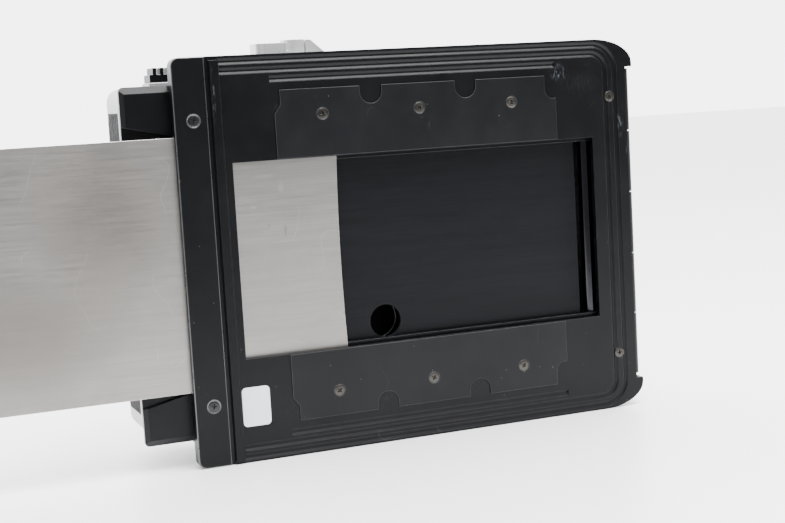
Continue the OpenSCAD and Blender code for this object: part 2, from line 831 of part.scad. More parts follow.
module spool_pins() {
  color("#8f9093") {
    rod_z(take_up_x, spool_y, -insert_top, -insert_z + 3.2, pin_r);
    for (s = [-1, 1]) mirror([0, 0, s > 0 ? 0 : 1])
      rod_z(supply_x, spool_y, insert_z - 3.2, insert_top, pin_r);
  }
}

// A leaf spring that brakes the roll of film
module tension_spring() {
  leaf_half = 12;
  y0 = spine_y + insert_t;
  color("#a2a3a6") {
    block(spine_x - 8, spine_x - 0.5, y0, y0 + 0.4, -leaf_half, leaf_half);
    slab_z(-leaf_half, leaf_half) polygon([
      [spine_x - 0.6, y0], [spine_x + 1.6, y0 + 3], [spine_x + 1.2, y0 + 3.2], [spine_x - 0.9, y0 + 0.4]
    ]);
  }
}

// ---- Take-up and wind train ----------------------------------------------

module take_up_spool() {
  flange_t = 1.2;
  slot_w = 1.6;
  color("#26272a") difference() {
    union() {
      rod_z(take_up_x, spool_y, -spool_l / 2, spool_l / 2, core_d / 2);
      for (s = [-1, 1]) mirror([0, 0, s > 0 ? 0 : 1])
        rod_z(take_up_x, spool_y, spool_l / 2 - flange_t, spool_l / 2, spool_r);
    }
    rod_z(take_up_x, spool_y, -far, -spool_l / 2 + 4, pin_r + 0.2);
    rod_z(take_up_x, spool_y, spool_l / 2 - 4, far, pin_r + 0.2);
    block(take_up_x - 5, take_up_x + 5, spool_y - slot_w / 2, spool_y + slot_w / 2, spool_l / 2 - 3, far);
    block(take_up_x - far / 2, take_up_x + far / 2, spool_y - 0.6, spool_y + 0.6, -22, 22);
  }
}

module drive_key() {
  blade_w = 1.3;
  color("#9d9ea1") {
    rod_z(take_up_x, spool_y, insert_z - 0.5, gear_top + 0.8, key_r);
    block(take_up_x - 4.4, take_up_x + 4.4, spool_y - blade_w / 2, spool_y + blade_w / 2,
      spool_l / 2 - 2.6, spool_l / 2 + 0.2);
    rod_z(take_up_x, spool_y, spool_l / 2 - 3.6, insert_z, pin_r - 0.2);
  }
}

module take_up_gear() {
  color("#b59a55") difference() {
    translate([take_up_x, spool_y, gear_z]) spur(spool_teeth, gear_module, gear_t, spool_phase);
    rod_z(take_up_x, spool_y, 0, far, key_r);
  }
}

module idler_gear() {
  color("#b59a55") difference() {
    union() {
      translate([idler_x, idler_y, gear_z]) spur(idler_teeth, gear_module, gear_t, idler_phase);
      translate([idler_x, idler_y, gear_top - eps])
        spur(pinion_teeth, counter_module, pinion_top - gear_top + eps, idler_phase);
    }
    rod_z(idler_x, idler_y, 0, far, idler_post_r - 0.5 + running);
  }
}

module idler_post() {
  color("#a0a1a4") {
    rod_z(idler_x, idler_y, gear_plate_z, pinion_top + 0.6, idler_post_r - 0.5);
    rod_z(idler_x, idler_y, gear_plate_z + gear_plate_t, gear_z - 0.3, idler_post_r + 0.6);
  }
}

// The plate under the gears, on three posts
module gear_plate() {
  color("#a58b4b") difference() {
    slab_z(gear_plate_z, gear_plate_z + gear_plate_t) union() {
      translate([idler_x, idler_y]) circle(7);
      translate([lever_x, lever_y]) circle(8);
      translate([idler_x, lever_y - 5]) square([lever_x - idler_x, 10]);
    }
    rod_z(idler_x, idler_y, 0, far, idler_post_r - 0.5);
    rod_z(lever_x, lever_y, 0, far, lever_shaft_d / 2 + running + 0.3);
    for (p = plate_post_places) rod_z(p[0], p[1], 0, far, 0.8);
  }
}

plate_post_places = [[lever_x + 5.5, lever_y], [idler_x - 4, idler_y + 2], [idler_x + 9, lever_y + 3]];

module gear_plate_posts() {
  color("#8a8b8e") for (p = plate_post_places) {
    rod_z(p[0], p[1], roof_top, gear_plate_z, 1.6);
    rod_z(p[0], p[1], gear_plate_z - eps, gear_plate_z + gear_plate_t, 0.8);
    rod_z(p[0], p[1], gear_plate_z + gear_plate_t, gear_plate_z + gear_plate_t + 0.7, 1.5);
  }
}

module lever_gear() {
  color("#b59a55") difference() {
    translate([lever_x, lever_y, gear_z]) spur(lever_teeth, gear_module, gear_t, idler_angle);
    rod_z(lever_x, lever_y, 0, far, lever_shaft_d / 2);
  }
}

// The one-way clutch between the lever's shaft and its gear
module clutch_drum() {
  color("#8f9093") difference() {
    rod_z(lever_x, lever_y, gear_top, clutch_z + clutch_t, 6.5);
    rod_z(lever_x, lever_y, 0, far, lever_shaft_d / 2);
  }
}

module lever_shaft() {
  color("#a6a8ab") rod_z(lever_x, lever_y, roof_z, hub_top - 1.4, lever_shaft_d / 2);
}

// The flat spiral spring that brings the lever back
module lever_spring() {
  turns = 3;
  inner_r = lever_shaft_d / 2 + 0.4;
  pitch = 1.1;
  strip = 0.35;
  steps = 24 * turns;
  function at(i, w) = let (a = i * 15, r = inner_r + pitch * i / 24 + w) [r * cos(a), r * sin(a)];
  outline = concat([for (i = [0 : steps]) at(i, 0)], [for (i = [steps : -1 : 0]) at(i, strip)]);
  color("#5d6066") translate([lever_x, lever_y, spring_z]) linear_extrude(1.6) polygon(outline);
}

module lever_bush() {
  color("#b59a55") difference() {
    rod_z(lever_x, lever_y, casing_top - shell_wall - 0.6, casing_top + 0.4, bush_r);
    rod_z(lever_x, lever_y, 0, far, lever_shaft_d / 2 + running);
  }
}

// The raised seat under the lever, with a slope down to the deck on its right
module lever_housing() {
  left = lever_x - lever_l + 2.5;
  peak = lever_x + hub_r + 0.9;
  slope_foot = peak + (hub_top - casing_top - 1.2) / wedge_slope;
  color("#c6c7c9") difference() {
    union() {
      slab_z(casing_top, housing_top) union() {
        translate([lever_x, lever_y]) circle(7);
        translate([left + 5, lever_y]) circle(5);
        translate([left + 5, lever_y - 5]) square([lever_x - left - 5, 10]);
      }
      slab_y(lever_y - wedge_half, lever_y + wedge_half) polygon([
        [lever_x, casing_top], [lever_x, hub_top], [peak, hub_top],
        [slope_foot, casing_top + 1.2], [slope_foot, casing_top]
      ]);
    }
    rod_z(lever_x, lever_y, housing_top, far, hub_r + 0.4);
    rod_z(lever_x, lever_y, 0, casing_top + 0.4, bush_r);
    rod_z(lever_x, lever_y, 0, far, lever_shaft_d / 2 + running);
    translate([lever_x - 2 * hub_r, lever_y - far / 2, housing_top]) cube([2 * hub_r, far, far]);
  }
}

module wind_lever() {
  arm_half = 3;
  grip_front = -5.5;
  grip_back = 3.5;
  grip_left = -lever_l;
  grip_right = -lever_l + grip_l;
  groove_step = grip_l * 0.765 / grip_grooves;
  color("#cfd0d2") difference() {
    union() {
      rod_z(lever_x, lever_y, lever_z, hub_top, hub_r);
      translate([lever_x + grip_right - 1, lever_y - arm_half, lever_z])
        cube([-grip_right + 1, 2 * arm_half, arm_t]);
      translate([lever_x, lever_y, 0]) slab_z(lever_z, grip_top)
        panel(grip_left, grip_right, grip_front, grip_back, [1.5, 0.4, 0.4, 2.5]);
    }
    for (i = [0 : grip_grooves - 1]) {
      translate([lever_x + grip_left + 0.28 * grip_l + i * groove_step, lever_y + grip_front, lever_z - 1])
        rotate([0, 0, 45]) translate([-0.4, -0.4, 0]) cube([0.8, 0.8, far]);
    }
    rod_z(lever_x, lever_y, 0, hub_top - 1.4, lever_shaft_d / 2);
    rod_z(lever_x, lever_y, hub_top - 1.4 - eps, far, 2.6);
  }
}

// The screw in the top of the lever's hub, with a slot
module lever_screw() {
  color("#b8b9bb") difference() {
    rod_z(lever_x, lever_y, hub_top - 1.4, hub_top - 0.3, 2.6);
    block(lever_x - far / 2, lever_x + far / 2, lever_y - 0.35, lever_y + 0.35, hub_top - 0.9, far);
  }
}

// ---- Counter -------------------------------------------------------------

// The pin that hangs from the deck and carries the counter
module counter_post() {
  color("#a0a1a4") {
    rod_z(counter_x, counter_y, counter_z - 0.3, casing_top - shell_wall, counter_post_r);
    rod_z(counter_x, counter_y, counter_z - 0.5, counter_z - 0.1, counter_post_r + 0.6);
  }
}

module counter_gear() {
  color("#b59a55") difference() {
    union() {
      translate([counter_x, counter_y, counter_z]) spur(counter_teeth, counter_module, 1.4, counter_phase);
      rod_z(counter_x, counter_y, counter_z + 1, dial_z, 2);
    }
    rod_z(counter_x, counter_y, 0, far, counter_post_r + running);
  }
}

module counter_dial() {
  color("#e4e4e0") difference() {
    rod_z(counter_x, counter_y, dial_z, dial_z + 0.7, dial_r);
    rod_z(counter_x, counter_y, 0, far, counter_post_r + running);
  }
}

module counter_bezel() {
  color("#c6c7c9") difference() {
    rod_z(counter_x - 4, counter_y, casing_top, casing_top + 0.6, window_hole_r + 1);
    rod_z(counter_x - 4, counter_y, 0, far, window_hole_r);
  }
}

module counter_window() {
  color("#d8e4ea")
    rod_z(counter_x - 4, counter_y, casing_top - shell_wall + 0.2, casing_top + 0.4, window_hole_r);
}

// ---- Rear cover ----------------------------------------------------------

// The cover's outline seen from the front, grown inwards by an inset
module cover_outline(inset) {
  panel(cover_left + inset, cover_right - inset, -casing_top + inset, casing_top - inset, [
    max(cover_corner_bottom - inset, 0.5), max(cover_corner_right - inset, 0.5),
    max(cover_corner_right - inset, 0.5), max(cover_corner_top - inset, 0.5)
  ]);
}

leaf_y = hinge_y + barrel_r + 0.4;
leather_top = casing_top - 7.3;
leather_bottom = -casing_top + 9.3;
leather_sunk = 0.4;
leather_front = cover_front + 1.6;
leather_right_x = cover_right - 4;

module leather_band(grow) {
  slab_z(leather_bottom, leather_top) difference() {
    chamber_plan(shell_wall + grow, leather_front);
    chamber_plan(shell_wall - leather_sunk, leather_front - 1);
    translate([leather_right_x, 0]) square([far, far]);
  }
}

module rear_cover() {
  color("#b9babc") difference() {
    intersection() {
      slab_z(-casing_top, casing_top) chamber_plan(shell_wall, cover_front);
      slab_y(0, far) cover_outline(0);
    }
    intersection() {
      slab_z(-casing_top, casing_top) chamber_plan(0, cover_front - 1);
      slab_y(0, far) cover_outline(shell_wall);
    }
    slab_z(-far, far) intersection() {
      translate([hinge_x, hinge_y]) circle(seam_r + seam_gap, $fn = 120);
      translate([-far, 0]) square([far + deck_right + seam_gap, deck_back + seam_gap]);
    }
    block(supply_x, far, 0, leaf_y, -far, far);
    leather_band(1);
    rod_y(-window_left, -window_down, inner_back - 1, far, window_d / 2);
    rod_y(-window_left, -window_down, inner_back - 1, inner_back + 0.8, lens_r);
    block(latch_slot_x0, latch_slot_x1, latch_y - 2.2, latch_y + 2.2, casing_top - 4, casing_top + 1);
  }
}

lens_r = window_d / 2 + 0.9;
latch_stem_x = latch_x0 + 4;
latch_slot_x0 = latch_stem_x - 0.3;
latch_slot_x1 = latch_stem_x + latch_stem_w + latch_travel + 0.3;

// The cover's half of the hinge: two knuckles on a strip inside the cover's right wall
module hinge_leaf() {
  leaf_t = 0.8;
  leaf_x = cover_right - shell_wall;
  color("#1a1b1d") difference() {
    union() {
      for (span = knuckle_spans(1)) {
        rod_z(hinge_x, hinge_y, span[0], span[1], barrel_r);
        block(leaf_x - leaf_t, cover_right, hinge_y, leaf_y - 0.02, span[0], span[1]);
      }
      block(leaf_x - leaf_t, leaf_x, leaf_y - 0.04, leaf_y + 7, -strip_half + 4, strip_half - 4);
    }
    rod_z(hinge_x, hinge_y, -far / 2, far / 2, hinge_pin_d / 2 + running);
  }
}

module leatherette() {
  color("#2b2c2e") difference() {
    leather_band(0.1);
    rod_y(-window_left, -window_down, 0, far, frame_r);
  }
}

frame_r = window_d / 2 + 3;

// A foam strip inside the cover's back, where the casing closes on it
module cover_seal() {
  strip_t = inner_back - deck_back;
  z0 = (roof_top + casing_top - shell_wall) / 2;
  color("#111113") for (s = [-1, 1]) {
    block(seam_x + 8, deck_right - 4, deck_back + 0.1, inner_back, s * z0 - 1.5, s * z0 + 1.5);
  }
}

module hinge_pin() {
  color("#7c7d80") rod_z(hinge_x, hinge_y, -strip_half, strip_half, hinge_pin_d / 2);
}

module latch_base() {
  color("#c0c1c3") difference() {
    block(latch_x0 - 0.5, latch_x1 + 3, latch_y - 5, latch_y + 5, casing_top, casing_top + latch_base_t);
    block(latch_slot_x0, latch_slot_x1, latch_y - 2.2, latch_y + 2.2, 0, far);
  }
}

module latch_slider() {
  slider_z = casing_top + latch_base_t + 0.1;
  slider_top = slider_z + 2.3;
  fin_t = 1.1;
  stem_right = latch_stem_x + latch_stem_w;
  color("#19191b") union() {
    block(latch_x0, latch_x1 - 1, latch_y - 4, latch_y + 4, slider_z, slider_top);
    for (i = [0 : latch_fins - 1]) {
      block(latch_x0 + 1 + i * fin_pitch, latch_x0 + 1 + i * fin_pitch + fin_t, latch_y - 4, latch_y + 4,
        slider_top - eps, slider_top + 2);
    }
    block(latch_stem_x, stem_right, latch_y - 1.8, latch_y + 1.8, casing_top - 3.4, slider_z + eps);
    block(latch_stem_x, stem_right, wall_back + 3, latch_y + 1.8, casing_top - 4.6, casing_top - 3.4);
  }
}

module latch_spring() {
  x0 = latch_stem_x + latch_stem_w + latch_travel + 0.6;
  color("#b9babd") difference() {
    block(x0, x0 + 1, latch_y - 3, latch_y + 3, casing_top - shell_wall - 2, casing_top - shell_wall);
    block(x0 + 0.4, x0 + 2, latch_y - 2.6, latch_y + 2.6, casing_top - far, casing_top - shell_wall - 0.4);
  }
}

// The catch on the back of the casing's front wall
module latch_catch() {
  color("#8a8b8e") difference() {
    block(latch_stem_x - 3, latch_stem_x - 0.5, wall_back, wall_back + 4, casing_top - 6, casing_top - 3);
    block(latch_stem_x - 4, latch_stem_x, wall_back + 1.2, wall_back + 2.6,
      casing_top - 7, casing_top - 4.4);
  }
}

shutter_y = cover_back + 0.45;
shutter_w = window_d + 5;
shutter_travel = window_d + 3;

// The frame round the film window, with two rails that hold the shutter
module window_frame() {
  frame_t = 0.35;
  rail_x0 = -window_left - shutter_w / 2 - 1;
  rail_x1 = -window_left + shutter_w / 2 + shutter_travel + 1;
  rail_in = shutter_w / 2 - 1.2;
  color("#bdbec0") difference() {
    union() {
      rod_y(-window_left, -window_down, cover_back - 0.4, cover_back + frame_t, frame_r);
      for (s = [-1, 1]) {
        block(rail_x0, rail_x1, cover_back + 0.1, cover_back + 1.9,
          -window_down + s * (shutter_w / 2 + 0.7) - 0.6, -window_down + s * (shutter_w / 2 + 0.7) + 0.6);
        block(rail_x0, rail_x1, cover_back + 1.5, cover_back + 1.9,
          -window_down + s * (rail_in + 1) - 1, -window_down + s * (rail_in + 1) + 1);
      }
    }
    rod_y(-window_left, -window_down, 0, far, window_d / 2);
  }
}

module window_lens() {
  color("#8c1a1a") rod_y(-window_left, -window_down, inner_back, inner_back + 0.8, lens_r);
}

module window_shutter() {
  z0 = -window_down;
  color("#202124") {
    block(-window_left - shutter_w / 2, -window_left + shutter_w / 2, shutter_y, shutter_y + 0.9,
      z0 - shutter_w / 2, z0 + shutter_w / 2);
    for (i = [-1 : 1]) block(-window_left + i * 2.4 - 0.6, -window_left + i * 2.4 + 0.6,
      shutter_y + 0.9 - eps, shutter_y + 1.8, z0 - 3.5, z0 + 3.5);
  }
}

mount_plate();
slide_cap();
cap_screws();
upper_mask_plate();
lower_mask_plate();
mask_screws();
end_screws();
slot_felts();
felt_spring();
gate_frame();
casing();
film_insert();
insert_screws();
roller_pins();
left_guide_roller();
right_guide_roller();
pressure_plate();
plate_posts();
plate_springs();
spool_pins();
tension_spring();
take_up_spool();
drive_key();
take_up_gear();
idler_gear();
idler_post();
gear_plate();
gear_plate_posts();
lever_gear();
clutch_drum();
lever_shaft();
lever_spring();
lever_bush();
lever_housing();
wind_lever();
lever_screw();
counter_post();
counter_gear();
counter_dial();
counter_bezel();
counter_window();
rear_cover();
leatherette();
cover_seal();
hinge_leaf();
hinge_pin();
latch_base();
latch_slider();
latch_spring();
latch_catch();
window_frame();
window_lens();
window_shutter();
dark_slide();
slide_handle();
handle_rivets();
paper_label();
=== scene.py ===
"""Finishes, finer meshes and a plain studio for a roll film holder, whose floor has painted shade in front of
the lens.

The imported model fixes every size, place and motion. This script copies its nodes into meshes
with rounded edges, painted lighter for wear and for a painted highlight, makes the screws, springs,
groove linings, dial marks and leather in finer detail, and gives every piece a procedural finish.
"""
import json
import logging
import math
from dataclasses import dataclass, field
from enum import Enum

import bmesh
import bpy
from mathutils import Matrix, Vector


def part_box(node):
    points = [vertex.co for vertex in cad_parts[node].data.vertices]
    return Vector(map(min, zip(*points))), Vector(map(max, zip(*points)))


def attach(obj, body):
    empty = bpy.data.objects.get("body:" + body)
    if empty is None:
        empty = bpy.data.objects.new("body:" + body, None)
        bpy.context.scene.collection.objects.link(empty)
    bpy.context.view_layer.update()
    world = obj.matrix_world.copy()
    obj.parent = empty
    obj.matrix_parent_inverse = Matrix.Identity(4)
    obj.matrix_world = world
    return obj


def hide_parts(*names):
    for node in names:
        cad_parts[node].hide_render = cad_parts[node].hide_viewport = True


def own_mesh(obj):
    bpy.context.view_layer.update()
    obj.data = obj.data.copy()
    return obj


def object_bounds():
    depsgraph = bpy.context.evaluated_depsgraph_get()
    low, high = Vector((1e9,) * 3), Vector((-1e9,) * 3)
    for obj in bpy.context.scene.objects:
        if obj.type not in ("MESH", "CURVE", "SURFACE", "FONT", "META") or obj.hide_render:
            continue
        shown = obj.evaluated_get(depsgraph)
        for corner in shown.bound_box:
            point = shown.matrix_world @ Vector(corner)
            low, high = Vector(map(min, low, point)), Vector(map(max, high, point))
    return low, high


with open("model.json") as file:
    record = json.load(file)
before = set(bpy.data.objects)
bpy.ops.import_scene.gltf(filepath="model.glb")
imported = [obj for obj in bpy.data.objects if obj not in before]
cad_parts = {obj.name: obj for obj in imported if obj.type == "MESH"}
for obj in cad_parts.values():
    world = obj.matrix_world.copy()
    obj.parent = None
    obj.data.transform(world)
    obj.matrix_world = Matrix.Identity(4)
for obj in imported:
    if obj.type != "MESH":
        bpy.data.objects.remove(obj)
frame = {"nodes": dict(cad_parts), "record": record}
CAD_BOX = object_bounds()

log = logging.getLogger("roll_film_holder")

MM = 0.001
MERGE_MM = 0.002
Rgb = tuple[float, float, float]
Setting = float | int | bool | str | tuple | bpy.types.NodeSocket | None


class Axis(Enum):
    """A row axis, with the way that brushing or a screw runs along it."""

    X = (1.0, 0.0, 0.0)
    Y = (0.0, 1.0, 0.0)
    Z = (0.0, 0.0, 1.0)


class Mark(Enum):
    """What a wear mark looks like."""

    SCUFF = "rubbed through to lighter metal"
    BLOOM = "a dull, hazy patch"


# ---- Node trees ----------------------------------------------------------------


class Board:
    """A node tree being filled, with short ways to add nodes and join them."""

    def __init__(self, tree: bpy.types.NodeTree) -> None:
        """Takes the tree to fill.

        Args:
            tree: A shader or geometry node tree.
        """
        self.tree = tree

    def add(self, kind: str, values: dict[str | int, Setting] | None = None,
            **settings: object) -> bpy.types.Node:
        """Adds a node, sets its own properties and fills its inputs.

        Args:
            kind: The node's type name.
            values: Input name or number to a value, or to the output socket that feeds it.
            settings: The node's own properties, such as operation="ADD".

        Returns:
            The new node.
        """
        node = self.tree.nodes.new(kind)
        for name, value in settings.items():
            setattr(node, name, value)
        for key, value in (values or {}).items():
            socket = node.inputs[key]
            if isinstance(value, bpy.types.NodeSocket):
                self.tree.links.new(value, socket)
            else:
                socket.default_value = value
        return node


class Shader(Board):
    """A material's node tree, with the few patterns that the finishes are made of."""

    def __init__(self, tree: bpy.types.NodeTree, soft_mm: float = 0.0) -> None:
        """Takes the tree to fill.

        Args:
            tree: The material's tree.
            soft_mm: Radius by which the finish rounds off sharp edges, or 0.
        """
        super().__init__(tree)
        self.soft_mm = soft_mm

    def soft_normal(self) -> bpy.types.NodeSocket:
        """Returns the normal of a surface whose edges are rounded off."""
        return self.add("ShaderNodeBevel", {"Radius": self.soft_mm * MM}, samples=6).outputs["Normal"]

    def edges(self) -> bpy.types.NodeSocket:
        """Returns 1 along rounded-off edges and 0 on the flat."""
        flat = self.add("ShaderNodeNewGeometry").outputs["True Normal"]
        values = {0: self.soft_normal(), 1: flat}
        likeness = self.add("ShaderNodeVectorMath", values, operation="DOT_PRODUCT").outputs["Value"]
        return self.spread(likeness, (0.985, 0.80))

    def place(self) -> bpy.types.NodeSocket:
        """Returns the point's place in the row frame, in metres."""
        return self.add("ShaderNodeTexCoord").outputs["Object"]

    def stretched(self, along: Axis, fine: float, coarse: float) -> bpy.types.NodeSocket:
        """Squeezes the place so that a noise on it becomes streaks.

        Args:
            along: The axis that the streaks run along.
            fine: Scale across the streaks.
            coarse: Scale along the streaks.

        Returns:
            The stretched place.
        """
        scale = tuple(coarse if part else fine for part in along.value)
        return self.add("ShaderNodeMapping", {"Vector": self.place(), "Scale": scale}).outputs["Vector"]

    def noise(self, vector: bpy.types.NodeSocket, scale: float, detail: float = 2.0,
              roughness: float = 0.5) -> bpy.types.NodeSocket:
        """Returns a noise from 0 to 1.

        Args:
            vector: The place to read it at.
            scale: Waves per metre.
            detail: Number of finer octaves.
            roughness: Strength of the finer octaves.
        """
        values = {"Vector": vector, "Scale": scale, "Detail": detail, "Roughness": roughness}
        return self.add("ShaderNodeTexNoise", values).outputs["Fac"]

    def math(self, operation: str, first: Setting, second: Setting = 0.0) -> bpy.types.NodeSocket:
        """Returns the result of a sum on one or two values.

        Args:
            operation: The name of the sum, such as MULTIPLY.
            first: The first value.
            second: The second value.
        """
        return self.add("ShaderNodeMath", {0: first, 1: second}, operation=operation).outputs[0]

    def spread(self, value: bpy.types.NodeSocket, source: tuple[float, float],
               target: tuple[float, float] = (0.0, 1.0)) -> bpy.types.NodeSocket:
        """Maps a value from one range to another, and clamps it there.

        Args:
            value: The value to map.
            source: The range it is read in.
            target: The range it is written in.

        Returns:
            The mapped value.
        """
        values = {"Value": value, "From Min": source[0], "From Max": source[1],
                  "To Min": target[0], "To Max": target[1]}
        return self.add("ShaderNodeMapRange", values).outputs["Result"]

    def tint(self, share: Setting, low: Setting, high: Setting) -> bpy.types.NodeSocket:
        """Blends two colours.

        Args:
            share: How much of the second colour.
            low: The first colour, as a tuple or a socket.
            high: The second colour.

        Returns:
            The blended colour.
        """
        pair = [(*c, 1.0) if isinstance(c, tuple) else c for c in (low, high)]
        node = self.add("ShaderNodeMix", {0: share, 6: pair[0], 7: pair[1]}, data_type="RGBA")
        return node.outputs[2]

    def bump(self, height: bpy.types.NodeSocket, depth_mm: float, strength: float,
             normal: bpy.types.NodeSocket | None = None) -> bpy.types.NodeSocket:
        """Turns a height into a normal.

        Args:
            height: The height, from 0 to 1.
            depth_mm: How deep a height of 1 is.
            strength: Share of the effect.
            normal: A normal to add it to.

        Returns:
            The bumped normal.
        """
        values: dict[str | int, Setting] = {"Height": height, "Distance": depth_mm * MM, "Strength": strength}
        if normal is None and self.soft_mm:
            normal = self.soft_normal()
        if normal is not None:
            values["Normal"] = normal
        return self.add("ShaderNodeBump", values).outputs["Normal"]

    def near(self, centre_mm: Rgb, reach_mm: Rgb) -> bpy.types.NodeSocket:
        """Returns 1 at a place and 0 past its reach, as a soft egg shape.

        Args:
            centre_mm: The middle of the place.
            reach_mm: How far it reaches along X, Y and Z.
        """
        scale = tuple(1.0 / (MM * r) for r in reach_mm)
        shift = tuple(-c / r for c, r in zip(centre_mm, reach_mm))
        moved = self.add("ShaderNodeMapping", {"Vector": self.place(), "Scale": scale, "Location": shift})
        length = self.add("ShaderNodeVectorMath", {0: moved.outputs["Vector"]}, operation="LENGTH")
        return self.spread(length.outputs["Value"], (1.0, 0.35))

    def scratches(self, scale: float, width: float, share: float) -> bpy.types.NodeSocket:
        """Returns thin curved lines, 1 on a line and 0 elsewhere, in a few patches.

        Args:
            scale: How closely the lines lie.
            width: Width of a line as a share of the noise.
            share: How low the patches' threshold is, from 0 to 1.
        """
        drift = self.noise(self.place(), scale, 1.0)
        line = self.spread(self.math("ABSOLUTE", self.math("SUBTRACT", drift, 0.5)), (width, 0.0))
        patch = self.spread(self.noise(self.place(), scale * 1.7, 0.0), (1.0 - share, 1.0 - share + 0.06))
        return self.math("MULTIPLY", line, patch)


# ---- Finishes ------------------------------------------------------------------


@dataclass(frozen=True)
class Finish:
    """A surface finish, which builds one material and finds it again by its name.

    Args:
        name: The material's name.
        soft_mm: Radius by which it rounds off sharp edges, or 0.
    """

    name: str
    soft_mm: float = 0.0

    def surface(self, board: Shader) -> bpy.types.NodeSocket:
        """Builds the finish's shader.

        Args:
            board: The material's tree.

        Returns:
            The shader's output.
        """
        raise NotImplementedError

    def material(self) -> bpy.types.Material:
        """Returns the finish's material, built the first time that it is asked for."""
        name = f"finish_{self.name}"
        known = bpy.data.materials.get(name)
        if known:
            return known
        made = bpy.data.materials.new(name)
        made.use_nodes = True
        made.node_tree.nodes.clear()
        board = Shader(made.node_tree, self.soft_mm)
        board.add("ShaderNodeOutputMaterial", {"Surface": self.surface(board)})
        return made


@dataclass(frozen=True)
class WearMark:
    """A mark at one place on a painted piece.

    Args:
        centre: Its middle, in millimetres.
        reach: How far it reaches along X, Y and Z, in millimetres.
        kind: What it looks like.
    """

    centre: Rgb
    reach: Rgb
    kind: Mark = Mark.SCUFF


@dataclass(frozen=True)
class SatinPaint(Finish):
    """Baked satin paint on cast metal, with a fine peel, dust specks and handling marks."""

    tone: Rgb = (0.0020, 0.0022, 0.0028)
    gloss: tuple[float, float] = (0.30, 0.40)
    specular: float = 0.17
    peel_mm: float = 0.02
    dust: float = 0.5
    # Lighter colour on the rounded edges: partly paint worn through, partly a painted highlight.
    worn: Rgb = (0.030, 0.031, 0.034)
    marks: tuple[WearMark, ...] = ()

    def surface(self, board: Shader) -> bpy.types.NodeSocket:
        """Builds the paint's shader.

        Args:
            board: The material's tree.

        Returns:
            The shader's output.
        """
        place = board.place()
        cloud = board.noise(place, 38.0, 4.0, 0.6)
        low = tuple(0.8 * c for c in self.tone)
        high = tuple(1.35 * c for c in self.tone)
        colour = board.tint(board.spread(cloud, (0.35, 0.65)), low, high)
        cells = board.add("ShaderNodeTexVoronoi", {"Vector": place, "Scale": 330.0})
        chosen = board.spread(cells.outputs["Color"], (0.70, 0.74))
        speck = board.math("MULTIPLY", board.spread(cells.outputs["Distance"], (0.05, 0.03)), chosen)
        colour = board.tint(board.math("MULTIPLY", speck, self.dust), colour, (0.20, 0.20, 0.20))
        hair = board.scratches(55.0, 0.004, 0.30)
        colour = board.tint(board.math("MULTIPLY", hair, 0.2), colour, (0.07, 0.072, 0.076))
        # Rounded edges are painted lighter in patches: partly wear, partly a painted highlight.
        if self.soft_mm:
            worn = board.spread(board.noise(place, 260.0, 3.0, 0.7), (0.35, 0.6), (0.35, 1.0))
            colour = board.tint(board.math("MULTIPLY", board.edges(), worn), colour, self.worn)
        rough = board.spread(board.noise(place, 90.0, 5.0, 0.65), (0.3, 0.7), self.gloss)
        for mark in self.marks:
            patch = board.near(mark.centre, mark.reach)
            torn = board.noise(board.stretched(Axis.Z, 1500.0, 500.0), 1.0, 3.0, 0.7)
            if mark.kind is Mark.SCUFF:
                share = board.math("MULTIPLY", patch, board.spread(torn, (0.50, 0.60)))
                colour = board.tint(share, colour, (0.040, 0.046, 0.052))
            else:
                share = board.math("MULTIPLY", patch, board.spread(torn, (0.42, 0.66), (0.0, 0.4)))
                colour = board.tint(share, colour, (0.016, 0.017, 0.019))
            rough = board.math("ADD", rough, board.math("MULTIPLY", share, 0.12))
        peel = board.bump(board.noise(place, 1500.0, 3.0, 0.6), self.peel_mm, 0.35)
        return board.add("ShaderNodeBsdfPrincipled", {
            "Base Color": colour, "Roughness": rough, "Normal": peel,
            "Specular IOR Level": self.specular, "Metallic": 0.0}).outputs["BSDF"]


